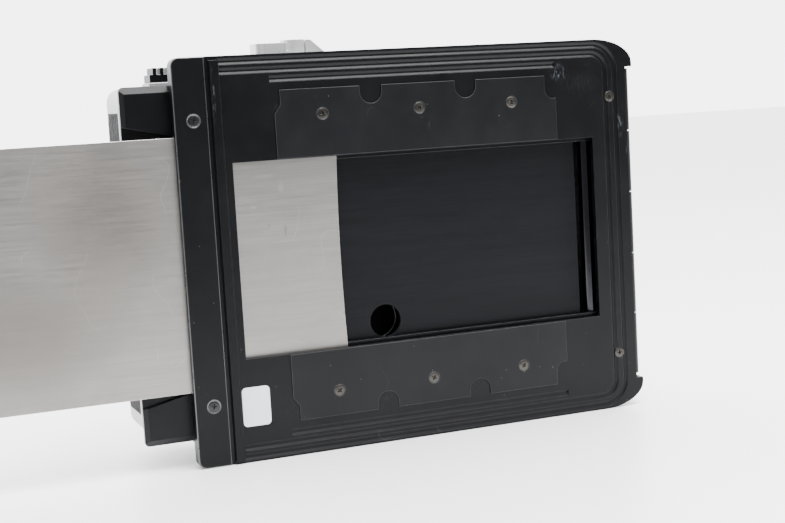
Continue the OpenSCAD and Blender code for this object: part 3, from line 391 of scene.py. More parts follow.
@dataclass(frozen=True)
class BrushedMetal(Finish):
    """Metal with straight brushing, handling smudges and a few scratches."""

    tone: Rgb = (0.50, 0.48, 0.45)
    along: Axis = Axis.X
    gloss: tuple[float, float] = (0.30, 0.42)
    contrast: float = 0.10
    depth_mm: float = 0.01
    smudge: Rgb | None = None
    scratch: float = 0.0
    marks: tuple[WearMark, ...] = ()
    metallic: float = 1.0
    specular: float = 0.5

    def surface(self, board: Shader) -> bpy.types.NodeSocket:
        """Builds the metal's shader.

        Args:
            board: The material's tree.

        Returns:
            The shader's output.
        """
        streaks = board.noise(board.stretched(self.along, 2600.0, 60.0), 1.0, 4.0, 0.65)
        bands = board.noise(board.stretched(self.along, 420.0, 9.0), 1.0, 3.0, 0.6)
        mixed = board.math("ADD", board.math("MULTIPLY", streaks, 0.6), board.math("MULTIPLY", bands, 0.4))
        low = tuple(c * (1.0 - self.contrast) for c in self.tone)
        high = tuple(min(1.0, c * (1.0 + self.contrast)) for c in self.tone)
        colour = board.tint(board.spread(mixed, (0.36, 0.64)), low, high)
        rough = board.spread(streaks, (0.3, 0.7), self.gloss)
        if self.smudge:
            haze = board.spread(board.noise(board.place(), 24.0, 5.0, 0.62), (0.44, 0.70))
            colour = board.tint(board.math("MULTIPLY", haze, 0.55), colour, self.smudge)
            rough = board.math("ADD", rough, board.math("MULTIPLY", haze, 0.10))
        if self.scratch:
            hair = board.scratches(42.0, 0.006, 0.42)
            light = tuple(min(1.0, 1.25 * c) for c in self.tone)
            colour = board.tint(board.math("MULTIPLY", hair, self.scratch), colour, light)
            dents = board.add("ShaderNodeTexVoronoi", {"Vector": board.place(), "Scale": 75.0})
            dot = board.spread(dents.outputs["Distance"], (0.045, 0.02))
            rare = board.spread(dents.outputs["Color"], (0.80, 0.84))
            colour = board.tint(board.math("MULTIPLY", board.math("MULTIPLY", dot, rare), 0.6), colour,
                                tuple(0.45 * c for c in self.tone))
        for mark in self.marks:
            patch = board.near(mark.centre, mark.reach)
            if mark.kind is Mark.SCUFF:
                bright = tuple(min(1.0, 1.25 * c) for c in self.tone)
                colour = board.tint(board.math("MULTIPLY", patch, 0.6), colour, bright)
            else:
                dull = tuple(s * c for s, c in zip((0.66, 0.61, 0.58), self.tone))
                colour = board.tint(board.math("MULTIPLY", patch, 0.7), colour, dull)
        normal = board.bump(streaks, self.depth_mm, 0.4)
        return board.add("ShaderNodeBsdfPrincipled", {
            "Base Color": colour, "Roughness": rough, "Normal": normal,
            "Specular IOR Level": self.specular, "Metallic": self.metallic}).outputs["BSDF"]


@dataclass(frozen=True)
class MachinedMetal(Finish):
    """Turned, milled or plated metal, almost even, with a fine cloud in its gloss."""

    tone: Rgb = (0.62, 0.62, 0.63)
    gloss: tuple[float, float] = (0.20, 0.30)
    cloud: float = 0.12

    def surface(self, board: Shader) -> bpy.types.NodeSocket:
        """Builds the metal's shader.

        Args:
            board: The material's tree.

        Returns:
            The shader's output.
        """
        place = board.place()
        fine = board.noise(place, 700.0, 4.0, 0.6)
        wide = board.noise(place, 70.0, 3.0, 0.55)
        low = tuple(c * (1.0 - self.cloud) for c in self.tone)
        colour = board.tint(board.spread(wide, (0.35, 0.65)), low, self.tone)
        rough = board.spread(fine, (0.3, 0.7), self.gloss)
        normal = board.bump(fine, 0.004, 0.3)
        return board.add("ShaderNodeBsdfPrincipled", {
            "Base Color": colour, "Roughness": rough, "Normal": normal, "Metallic": 1.0}).outputs["BSDF"]


@dataclass(frozen=True)
class Leather(Finish):
    """Pebbled black leatherette, with painted shade in the hollows between pebbles and a painted highlight on
    their tops.
    """

    tone: Rgb = (0.014, 0.015, 0.015)
    pebble_mm: float = 0.9

    def surface(self, board: Shader) -> bpy.types.NodeSocket:
        """Builds the leather's shader.

        Args:
            board: The material's tree.

        Returns:
            The shader's output.
        """
        place = board.place()
        scale = 1.0 / (self.pebble_mm * MM)
        cells = board.add("ShaderNodeTexVoronoi", {"Vector": place, "Scale": scale, "Smoothness": 0.4},
                          feature="SMOOTH_F1")
        tops = board.spread(cells.outputs["Distance"], (0.62, 0.12))
        grain = board.noise(place, scale * 4.0, 3.0, 0.7)
        # Pebble tops are painted lighter and the hollows darker: painted highlight and painted shade.
        colour = board.tint(tops, tuple(0.45 * c for c in self.tone), tuple(1.7 * c for c in self.tone))
        rough = board.spread(grain, (0.3, 0.7), (0.58, 0.72))
        normal = board.bump(tops, 0.12, 0.7, board.bump(grain, 0.03, 0.5))
        return board.add("ShaderNodeBsdfPrincipled", {
            "Base Color": colour, "Roughness": rough, "Normal": normal,
            "Specular IOR Level": 0.1}).outputs["BSDF"]


@dataclass(frozen=True)
class Cloth(Finish):
    """Black felt or open foam, which takes up light at a glancing angle."""

    tone: Rgb = (0.012, 0.012, 0.013)
    pile_mm: float = 0.25

    def surface(self, board: Shader) -> bpy.types.NodeSocket:
        """Builds the cloth's shader.

        Args:
            board: The material's tree.

        Returns:
            The shader's output.
        """
        fuzz = board.noise(board.place(), 1.0 / (self.pile_mm * MM), 5.0, 0.8)
        colour = board.tint(board.spread(fuzz, (0.3, 0.7)), tuple(0.6 * c for c in self.tone),
                            tuple(1.8 * c for c in self.tone))
        return board.add("ShaderNodeBsdfPrincipled", {
            "Base Color": colour, "Roughness": 0.95, "Normal": board.bump(fuzz, 0.15, 0.9),
            "Sheen Weight": 0.25, "Specular IOR Level": 0.2}).outputs["BSDF"]


@dataclass(frozen=True)
class Moulding(Finish):
    """Moulded plastic or paper: an even colour with a fine grain."""

    tone: Rgb = (0.03, 0.03, 0.032)
    gloss: tuple[float, float] = (0.38, 0.5)
    grain_mm: float = 0.3
    depth_mm: float = 0.01

    def surface(self, board: Shader) -> bpy.types.NodeSocket:
        """Builds the shader.

        Args:
            board: The material's tree.

        Returns:
            The shader's output.
        """
        place = board.place()
        grain = board.noise(place, 1.0 / (self.grain_mm * MM), 4.0, 0.65)
        stain = board.noise(place, 110.0, 3.0, 0.6)
        colour = board.tint(board.spread(stain, (0.35, 0.7)), tuple(0.92 * c for c in self.tone), self.tone)
        rough = board.spread(grain, (0.3, 0.7), self.gloss)
        return board.add("ShaderNodeBsdfPrincipled", {
            "Base Color": colour, "Roughness": rough,
            "Normal": board.bump(grain, self.depth_mm, 0.5)}).outputs["BSDF"]


@dataclass(frozen=True)
class Clear(Finish):
    """Clear or coloured window material with faint smears."""

    tone: Rgb = (0.9, 0.95, 0.96)

    def surface(self, board: Shader) -> bpy.types.NodeSocket:
        """Builds the window's shader.

        Args:
            board: The material's tree.

        Returns:
            The shader's output.
        """
        smear = board.noise(board.place(), 260.0, 4.0, 0.7)
        return board.add("ShaderNodeBsdfPrincipled", {
            "Base Color": (*self.tone, 1.0), "Roughness": board.spread(smear, (0.3, 0.8), (0.02, 0.10)),
            "Transmission Weight": 0.9, "IOR": 1.49}).outputs["BSDF"]


PLATE_MARKS = (
    WearMark((48.6, 0.3, 50.6), (3.6, 1.6, 3.4)),
    WearMark((-64.6, -0.8, 49.0), (0.7, 0.6, 9.0)),
    WearMark((-45.0, 0.0, 44.6), (3.2, 1.0, 1.6), Mark.BLOOM),
    WearMark((-66.3, -0.6, 12.0), (0.9, 1.2, 30.0), Mark.BLOOM),
    WearMark((72.6, 0.2, 26.0), (0.7, 1.0, 4.0)),
    WearMark((70.4, 0.2, 33.0), (1.4, 1.2, 5.0)),
    WearMark((56.0, 0.0, 47.0), (9.0, 2.0, 4.0), Mark.BLOOM),
    WearMark((-10.0, 0.0, -44.0), (60.0, 2.0, 8.0), Mark.BLOOM),
)
SLIDE_MARKS = (
    WearMark((-45.2, 2.0, 20.8), (1.2, 1.0, 2.0)),
    WearMark((-50.0, 2.0, 24.5), (4.6, 1.0, 0.7)),
    WearMark((-54.0, 2.0, 15.6), (1.2, 1.0, 0.6)),
    WearMark((-49.6, 2.0, 9.8), (0.5, 1.0, 0.5), Mark.BLOOM),
    WearMark((-44.6, 2.0, 8.0), (0.5, 1.0, 2.2), Mark.BLOOM),
    # These three broad marks darken the slide and tint it brown towards its outer end.
    WearMark((-168.0, 2.0, 20.0), (34.0, 2.0, 15.0), Mark.BLOOM),
    WearMark((-128.0, 2.0, -16.0), (40.0, 2.0, 20.0), Mark.BLOOM),
    WearMark((-98.0, 2.0, 14.0), (22.0, 2.0, 26.0), Mark.BLOOM),
)

PLATE_PAINT = SatinPaint("plate_paint", soft_mm=0.22, marks=PLATE_MARKS)
CASTING_PAINT = SatinPaint("casting_paint")
CASTING_SOFT = SatinPaint("casting_soft", soft_mm=0.35)
# Rim finish for rounded edges, lighter than the paint beside it: partly wear, partly a painted highlight.
RIM_WEAR_AND_HIGHLIGHT = SatinPaint("rim_paint", tone=(0.030, 0.031, 0.034), gloss=(0.24, 0.34), specular=0.9, dust=0.9)
MASK_PAINT = SatinPaint("mask_paint", tone=(0.0036, 0.0039, 0.0047), gloss=(0.34, 0.46), specular=0.2,
                        dust=0.8)
# Rim finish for the mask plates' edges, lighter than their paint: partly wear, partly a painted highlight.
MASK_RIM_WEAR_AND_HIGHLIGHT = SatinPaint("mask_rim", tone=(0.026, 0.028, 0.031), gloss=(0.3, 0.4), dust=0.2)
BLACK_ANODISE = BrushedMetal("black_anodise", tone=(0.0042, 0.0045, 0.0058), along=Axis.X, gloss=(0.38, 0.50),
                             contrast=0.34, depth_mm=0.02, metallic=0.0, specular=0.12)
SLIDE_STEEL = BrushedMetal("slide_steel", tone=(0.32, 0.312, 0.298), along=Axis.X, gloss=(0.34, 0.46),
                           contrast=0.11, smudge=(0.255, 0.232, 0.215), scratch=0.6, marks=SLIDE_MARKS)
SLIDE_EDGE = MachinedMetal("slide_edge", tone=(0.68, 0.67, 0.64), gloss=(0.25, 0.35))
SILVER = BrushedMetal("satin_silver", tone=(0.36, 0.36, 0.37), along=Axis.X, gloss=(0.34, 0.46),
                      contrast=0.08, smudge=(0.30, 0.295, 0.29), metallic=0.85)
LEVER_CHROME = BrushedMetal("lever_chrome", soft_mm=0.18, tone=(0.66, 0.66, 0.67), along=Axis.X,
                            gloss=(0.30, 0.42), contrast=0.05, depth_mm=0.004, metallic=0.5)
STEEL = MachinedMetal("bright_steel", tone=(0.62, 0.62, 0.63), gloss=(0.18, 0.28))
SCREW_STEEL = MachinedMetal("screw_steel", tone=(0.085, 0.080, 0.072), gloss=(0.28, 0.42), cloud=0.4)
SCREW_BLACK = MachinedMetal("screw_black", tone=(0.05, 0.05, 0.052), gloss=(0.28, 0.4), cloud=0.3)
ROLLER_STEEL = MachinedMetal("roller_steel", tone=(0.045, 0.045, 0.05), gloss=(0.12, 0.18))
SPRING_STEEL = MachinedMetal("spring_steel", tone=(0.48, 0.48, 0.49), gloss=(0.22, 0.34))
BLUED_STEEL = MachinedMetal("blued_steel", tone=(0.10, 0.11, 0.15), gloss=(0.25, 0.35))
BRASS = MachinedMetal("turned_brass", tone=(0.72, 0.53, 0.24), gloss=(0.22, 0.34))
LEATHER = Leather("pebbled_leather")
FELT = Cloth("light_trap_felt")
FOAM = Cloth("seal_foam", tone=(0.018, 0.018, 0.019), pile_mm=0.5)
SPOOL_PLASTIC = Moulding("spool_plastic")
DIAL_WHITE = Moulding("dial_white", tone=(0.78, 0.78, 0.75), gloss=(0.4, 0.5))
DIAL_INK = Moulding("dial_ink", tone=(0.02, 0.02, 0.02))
PAPER = Moulding("label_paper", tone=(0.80, 0.84, 0.90), gloss=(0.45, 0.6), grain_mm=0.15, depth_mm=0.02)
GLASS = Clear("counter_glass")
RED_GLASS = Clear("red_window", tone=(0.55, 0.02, 0.02))


# ---- Meshes --------------------------------------------------------------------


@dataclass(frozen=True)
class Rounding:
    """How a piece's edges are rounded.

    Args:
        width_mm: Width of the rounding.
        segments: Faces across it.
        angle_deg: Edges sharper than this are rounded.
    """

    width_mm: float = 0.25
    segments: int = 3
    angle_deg: float = 38.0


class Bench:
    """Makes, rounds and hands over meshes, and knows each node's body and slot."""

    def __init__(self, record: dict) -> None:
        """Reads which body and slot each node has.

        Args:
            record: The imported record.
        """
        self.body = {n: b for b, nodes in record["behaviour"]["bodies"].items() for n in nodes}
        self.slot = {s["node"]: s["material_slot"] for s in record["subparts"]}
        self.joint = {j["name"]: j for j in record["behaviour"]["joints"]}

    def dress(self, node: str, finish: Finish) -> None:
        """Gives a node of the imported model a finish.

        Args:
            node: The node's name.
            finish: Its finish.
        """
        mesh = frame["nodes"][node].data
        mesh.materials.clear()
        mesh.materials.append(finish.material())
        log.info("dressed %s in %s", node, finish.name)

    def hand_over(self, piece: bpy.types.Object, node: str, replaced: bool = True) -> bpy.types.Object:
        """Puts a piece on its node's body and, if asked, in its place.

        Args:
            piece: The finished object.
            node: The node that it belongs to.
            replaced: Whether it stands for the node.

        Returns:
            The piece.
        """
        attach(piece, self.body[node])
        if replaced:
            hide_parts(node)
        log.info("made %s on %s", piece.name, self.body[node])
        return piece

    def new_object(self, name: str, mesh: bpy.types.Mesh, *finishes: Finish) -> bpy.types.Object:
        """Links an object with its finishes.

        Args:
            name: The object's name.
            mesh: Its mesh.
            finishes: Its finishes, in slot order.

        Returns:
            The object.
        """
        piece = bpy.data.objects.new(name, mesh)
        bpy.context.scene.collection.objects.link(piece)
        mesh.materials.clear()
        for finish in finishes:
            mesh.materials.append(finish.material())
        return piece

    def merged_copy(self, node: str) -> bpy.types.Mesh:
        """Copies a node's mesh, joins its loose triangles and clears its flat faces.

        Args:
            node: The node's name.

        Returns:
            The new mesh.
        """
        mesh = frame["nodes"][node].data.copy()
        shape = bmesh.new()
        shape.from_mesh(mesh)
        bmesh.ops.remove_doubles(shape, verts=shape.verts, dist=MERGE_MM * MM)
        for edge in shape.edges:
            edge.seam = False
        for axis, level in self.hole_cuts(shape):
            cut = bmesh.ops.bisect_plane(
                shape, geom=[*shape.verts, *shape.edges, *shape.faces], dist=0.004 * MM,
                plane_co=axis * level, plane_no=axis)
            for part in cut["geom_cut"]:
                if isinstance(part, bmesh.types.BMEdge):
                    part.seam = True
        bmesh.ops.dissolve_limit(shape, angle_limit=math.radians(0.4), verts=shape.verts, edges=shape.edges,
                                 delimit={"SEAM"})
        for face in shape.faces:
            face.smooth = True
            face.material_index = 0
        shape.to_mesh(mesh)
        shape.free()
        if mesh.attributes.get("custom_normal"):
            mesh.attributes.remove(mesh.attributes["custom_normal"])
        return mesh

    def hole_cuts(self, shape: bmesh.types.BMesh) -> list[tuple[Vector, float]]:
        """Finds where to part the flat faces that have holes, so that each part has none.

        Args:
            shape: The mesh, in triangles.

        Returns:
            Axes and levels of the cuts.
        """
        found: dict[tuple[int, int], tuple[Vector, float]] = {}
        seen: set[int] = set()
        shape.faces.index_update()
        for seed in shape.faces:
            if seed.index in seen:
                continue
            flat = self.flat_patch(seed)
            seen.update(face.index for face in flat)
            rings = self.rims(flat)
            if len(rings) < 2:
                continue
            spans = [[max(v.co[i] for v in ring) - min(v.co[i] for v in ring) for i in range(3)]
                     for ring in rings]
            widest = max(range(len(rings)), key=lambda i: sum(spans[i]))
            side = max(range(3), key=lambda i: spans[widest][i])
            axis = Vector([1.0 if i == side else 0.0 for i in range(3)])
            for number, ring in enumerate(rings):
                if number != widest:
                    level = (max(v.co[side] for v in ring) + min(v.co[side] for v in ring)) / 2
                    found[(side, round(level / (0.2 * MM)))] = (axis, level)
        return list(found.values())

    def flat_patch(self, seed: bmesh.types.BMFace) -> set[bmesh.types.BMFace]:
        """Returns the faces that lie in one plane with a face and join up with it.

        Args:
            seed: The first face.
        """
        patch = {seed}
        edge_of = [seed]
        while edge_of:
            face = edge_of.pop()
            for edge in face.edges:
                for other in edge.link_faces:
                    if other not in patch and other.normal.dot(seed.normal) > 0.99998:
                        patch.add(other)
                        edge_of.append(other)
        return patch

    def rims(self, patch: set[bmesh.types.BMFace]) -> list[set[bmesh.types.BMVert]]:
        """Returns the corners of each closed rim of a flat patch.

        Args:
            patch: The patch's faces.
        """
        nearby: dict[bmesh.types.BMVert, set[bmesh.types.BMVert]] = {}
        for face in patch:
            for edge in face.edges:
                if sum(other in patch for other in edge.link_faces) == 1:
                    first, second = edge.verts
                    nearby.setdefault(first, set()).add(second)
                    nearby.setdefault(second, set()).add(first)
        rings: list[set[bmesh.types.BMVert]] = []
        while nearby:
            ring: set[bmesh.types.BMVert] = set()
            queue = [next(iter(nearby))]
            while queue:
                vert = queue.pop()
                if vert not in ring:
                    ring.add(vert)
                    queue.extend(nearby.pop(vert))
            rings.append(ring)
        return rings

    def round_edges(self, piece: bpy.types.Object, rounding: Rounding, rim_slot: int = -1) -> None:
        """Adds a live bevel, whose faces may take a finish of their own.

        Args:
            piece: The object.
            rounding: How its edges are rounded.
            rim_slot: The slot of the finish on the rounded edges, or -1 for the piece's own.
        """
        bevel = piece.modifiers.new("rounding", "BEVEL")
        bevel.width = rounding.width_mm * MM
        bevel.segments = rounding.segments
        bevel.limit_method = "ANGLE"
        bevel.angle_limit = math.radians(rounding.angle_deg)
        bevel.use_clamp_overlap = False
        bevel.harden_normals = True
        bevel.material = rim_slot

    def refine(self, node: str, finish: Finish, rounding: Rounding = Rounding(),
               rim: Finish | None = None) -> bpy.types.Object:
        """Replaces a node by a copy with rounded edges.

        Args:
            node: The node's name.
            finish: The finish of its faces.
            rounding: How its edges are rounded.
            rim: The finish of its edges, if it differs.

        Returns:
            The new piece.
        """
        finishes = (finish, rim) if rim else (finish,)
        piece = self.new_object(f"{node}_fine", self.merged_copy(node), *finishes)
        self.round_edges(piece, rounding, 1 if rim else -1)
        return self.hand_over(piece, node)

    def settle(self, piece: bpy.types.Object, *finishes: Finish) -> bpy.types.Object:
        """Turns a piece with modifiers into a plain mesh.

        Args:
            piece: The object, whose modifiers are cleared.
            finishes: The finishes to keep on it.

        Returns:
            The same object, with its evaluated mesh.
        """
        graph = bpy.context.evaluated_depsgraph_get()
        mesh = bpy.data.meshes.new_from_object(piece.evaluated_get(graph), depsgraph=graph)
        piece.modifiers.clear()
        old = piece.data
        piece.data = mesh
        bpy.data.meshes.remove(old)
        mesh.materials.clear()
        for finish in finishes:
            mesh.materials.append(finish.material())
        return piece

    def points(self, name: str, places: list[Vector]) -> bpy.types.Object:
        """Makes an object of loose points.

        Args:
            name: Its name.
            places: The points.

        Returns:
            The object.
        """
        mesh = bpy.data.meshes.new(name)
        mesh.from_pydata([tuple(p) for p in places], [], [])
        return self.new_object(name, mesh)


def centre_of(node: str) -> Vector:
    """Returns the middle of a node's box.

    Args:
        node: The node's name.
    """
    low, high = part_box(node)
    return (low + high) / 2


def grid_places(node: str, margin: float, columns: list[float], level: float) -> list[Vector]:
    """Finds the middles of equal pieces that lie in rows at a node's top and bottom.

    Args:
        node: The node that holds them.
        margin: Distance of a middle from the node's box.
        columns: Places along the box's X, from -1 to 1.
        level: The Y of the places.

    Returns:
        One place for each column, in both rows.
    """
    low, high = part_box(node)
    middle = (low.x + high.x) / 2
    half = (high.x - low.x) / 2 - margin
    rows = (low.z + margin, high.z - margin)
    return [Vector((middle + c * half, level, z)) for c in columns for z in rows]


# ---- Geometry node trees ---------------------------------------------------------


class Graph(Board):
    """A geometry node tree with named inputs, which ends in real geometry with a finish."""

    def __init__(self, name: str) -> None:
        """Starts an empty tree.

        Args:
            name: The tree's name.
        """
        super().__init__(bpy.data.node_groups.new(name, "GeometryNodeTree"))
        self.sockets: dict[str, str] = {}
        self.inlet = self.tree.nodes.new("NodeGroupInput")
        self.stock = self.take("Geometry", "NodeSocketGeometry")
        self.tree.interface.new_socket("Geometry", in_out="OUTPUT", socket_type="NodeSocketGeometry")

    def take(self, name: str, kind: str, default: Setting = None) -> bpy.types.NodeSocket:
        """Adds a named input.

        Args:
            name: The input's name.
            kind: Its socket type.
            default: Its default value.

        Returns:
            The socket that gives its value inside the tree.
        """
        item = self.tree.interface.new_socket(name, in_out="INPUT", socket_type=kind)
        if default is not None:
            item.default_value = default
        self.sockets[name] = item.identifier
        return self.inlet.outputs[name]

    def close(self, geometry: bpy.types.NodeSocket) -> None:
        """Ends the tree: instances are made real and take the finish.

        Args:
            geometry: The geometry to give out.
        """
        real = self.add("GeometryNodeRealizeInstances", {"Geometry": geometry})
        skin = self.take("Finish", "NodeSocketMaterial")
        done = self.add("GeometryNodeSetMaterial", {"Geometry": real.outputs[0], "Material": skin})
        outlet = self.tree.nodes.new("NodeGroupOutput")
        self.tree.links.new(done.outputs[0], outlet.inputs[0])

    def grow(self, bench: Bench, piece: bpy.types.Object, finish: Finish,
             values: dict[str, object] | None = None) -> bpy.types.Object:
        """Runs the tree on an object and keeps the result as a plain mesh.

        Args:
            bench: The bench that settles the piece.
            piece: The object that the tree starts from.
            finish: The finish of the result.
            values: Input name to value.

        Returns:
            The object, with its new mesh.
        """
        step = piece.modifiers.new("growth", "NODES")
        step.node_group = self.tree
        step[self.sockets["Finish"]] = finish.material()
        for name, value in (values or {}).items():
            step[self.sockets[name]] = value
        return bench.settle(piece, finish)


class SetGraph(Graph):
    """Sets a copy of one object at each point, turned about Y by a seeded chance angle."""

    def __init__(self) -> None:
        """Builds the tree."""
        super().__init__("set_of_copies")
        model = self.take("Model", "NodeSocketObject")
        seed = self.take("Seed", "NodeSocketInt", 3)
        swing = self.take("Swing", "NodeSocketFloat", math.tau)
        shape = self.add("GeometryNodeObjectInfo", {"Object": model})
        chance = self.add("FunctionNodeRandomValue", {2: 0.0, 3: swing, "Seed": seed}, data_type="FLOAT")
        turn = self.add("ShaderNodeCombineXYZ", {"Y": chance.outputs[1]})
        copies = self.add("GeometryNodeInstanceOnPoints", {
            "Points": self.stock, "Instance": shape.outputs["Geometry"], "Rotation": turn.outputs[0]})
        self.close(copies.outputs[0])


class CoilGraph(Graph):
    """A coil spring at each point, wound along Y."""

    def __init__(self) -> None:
        """Builds the tree."""
        super().__init__("coil_springs")
        radius = self.take("Radius", "NodeSocketFloat", 2 * MM)
        length = self.take("Length", "NodeSocketFloat", 6 * MM)
        turns = self.take("Turns", "NodeSocketFloat", 6.0)
        wire = self.take("Wire", "NodeSocketFloat", 0.25 * MM)
        coil = self.add("GeometryNodeCurveSpiral", {
            "Resolution": 28, "Rotations": turns, "Start Radius": radius, "End Radius": radius,
            "Height": length})
        ring = self.add("GeometryNodeCurvePrimitiveCircle", {"Resolution": 10, "Radius": wire})
        tube = self.add("GeometryNodeCurveToMesh", {
            "Curve": coil.outputs[0], "Profile Curve": ring.outputs[0], "Fill Caps": True})
        copies = self.add("GeometryNodeInstanceOnPoints", {
            "Points": self.stock, "Instance": tube.outputs[0], "Rotation": (-math.pi / 2, 0.0, 0.0)})
        self.close(copies.outputs[0])


class DialGraph(Graph):
    """Short marks round a dial, each pointing at its middle."""

    def __init__(self) -> None:
        """Builds the tree."""
        super().__init__("dial_marks")
        count = self.take("Count", "NodeSocketInt", 24)
        radius = self.take("Radius", "NodeSocketFloat", 5 * MM)
        size = self.take("Size", "NodeSocketVector")
        middle = self.take("Middle", "NodeSocketVector")
        ring = self.add("GeometryNodeMeshCircle", {"Vertices": count, "Radius": radius})
        spot = self.add("GeometryNodeInputPosition")
        aim = self.add("FunctionNodeAlignRotationToVector", {"Vector": spot.outputs[0]}, axis="X",
                       pivot_axis="Z")
        bar = self.add("GeometryNodeMeshCube", {"Size": size})
        copies = self.add("GeometryNodeInstanceOnPoints", {
            "Points": ring.outputs[0], "Instance": bar.outputs[0], "Rotation": aim.outputs[0]})
        moved = self.add("GeometryNodeTransform", {"Geometry": copies.outputs[0], "Translation": middle})
        self.close(moved.outputs[0])


class GrainGraph(Graph):
    """Raises pebbles on the part of a surface whose "grain" attribute says so."""

    def __init__(self) -> None:
        """Builds the tree."""
        super().__init__("leather_grain")
        depth = self.take("Depth", "NodeSocketFloat", 0.2 * MM)
        scale = self.take("Scale", "NodeSocketFloat", 1100.0)
        cells = self.add("ShaderNodeTexVoronoi", {"Scale": scale, "Smoothness": 0.5}, feature="SMOOTH_F1")
        fall = self.add("ShaderNodeMapRange", {
            "Value": cells.outputs["Distance"], "From Min": 0.1, "From Max": 0.65,
            "To Min": 0.0, "To Max": -1.0})
        share = self.add("GeometryNodeInputNamedAttribute", {"Name": "grain"}, data_type="FLOAT")
        first = self.add("ShaderNodeMath", {0: fall.outputs[0], 1: share.outputs[0]}, operation="MULTIPLY")
        second = self.add("ShaderNodeMath", {0: first.outputs[0], 1: depth}, operation="MULTIPLY")
        normal = self.add("GeometryNodeInputNormal")
        push = self.add("ShaderNodeVectorMath", {0: normal.outputs[0], "Scale": second.outputs[0]},
                        operation="SCALE")
        moved = self.add("GeometryNodeSetPosition", {"Geometry": self.stock, "Offset": push.outputs[0]})
        self.close(moved.outputs[0])


# ---- Sub-assemblies --------------------------------------------------------------


@dataclass
class Assembly:
    """A sub-assembly that makes and dresses its own pieces.

    Args:
        bench: The bench that makes the meshes.
    """

    bench: Bench

    def build(self) -> None:
        """Makes the sub-assembly's pieces."""
        raise NotImplementedError


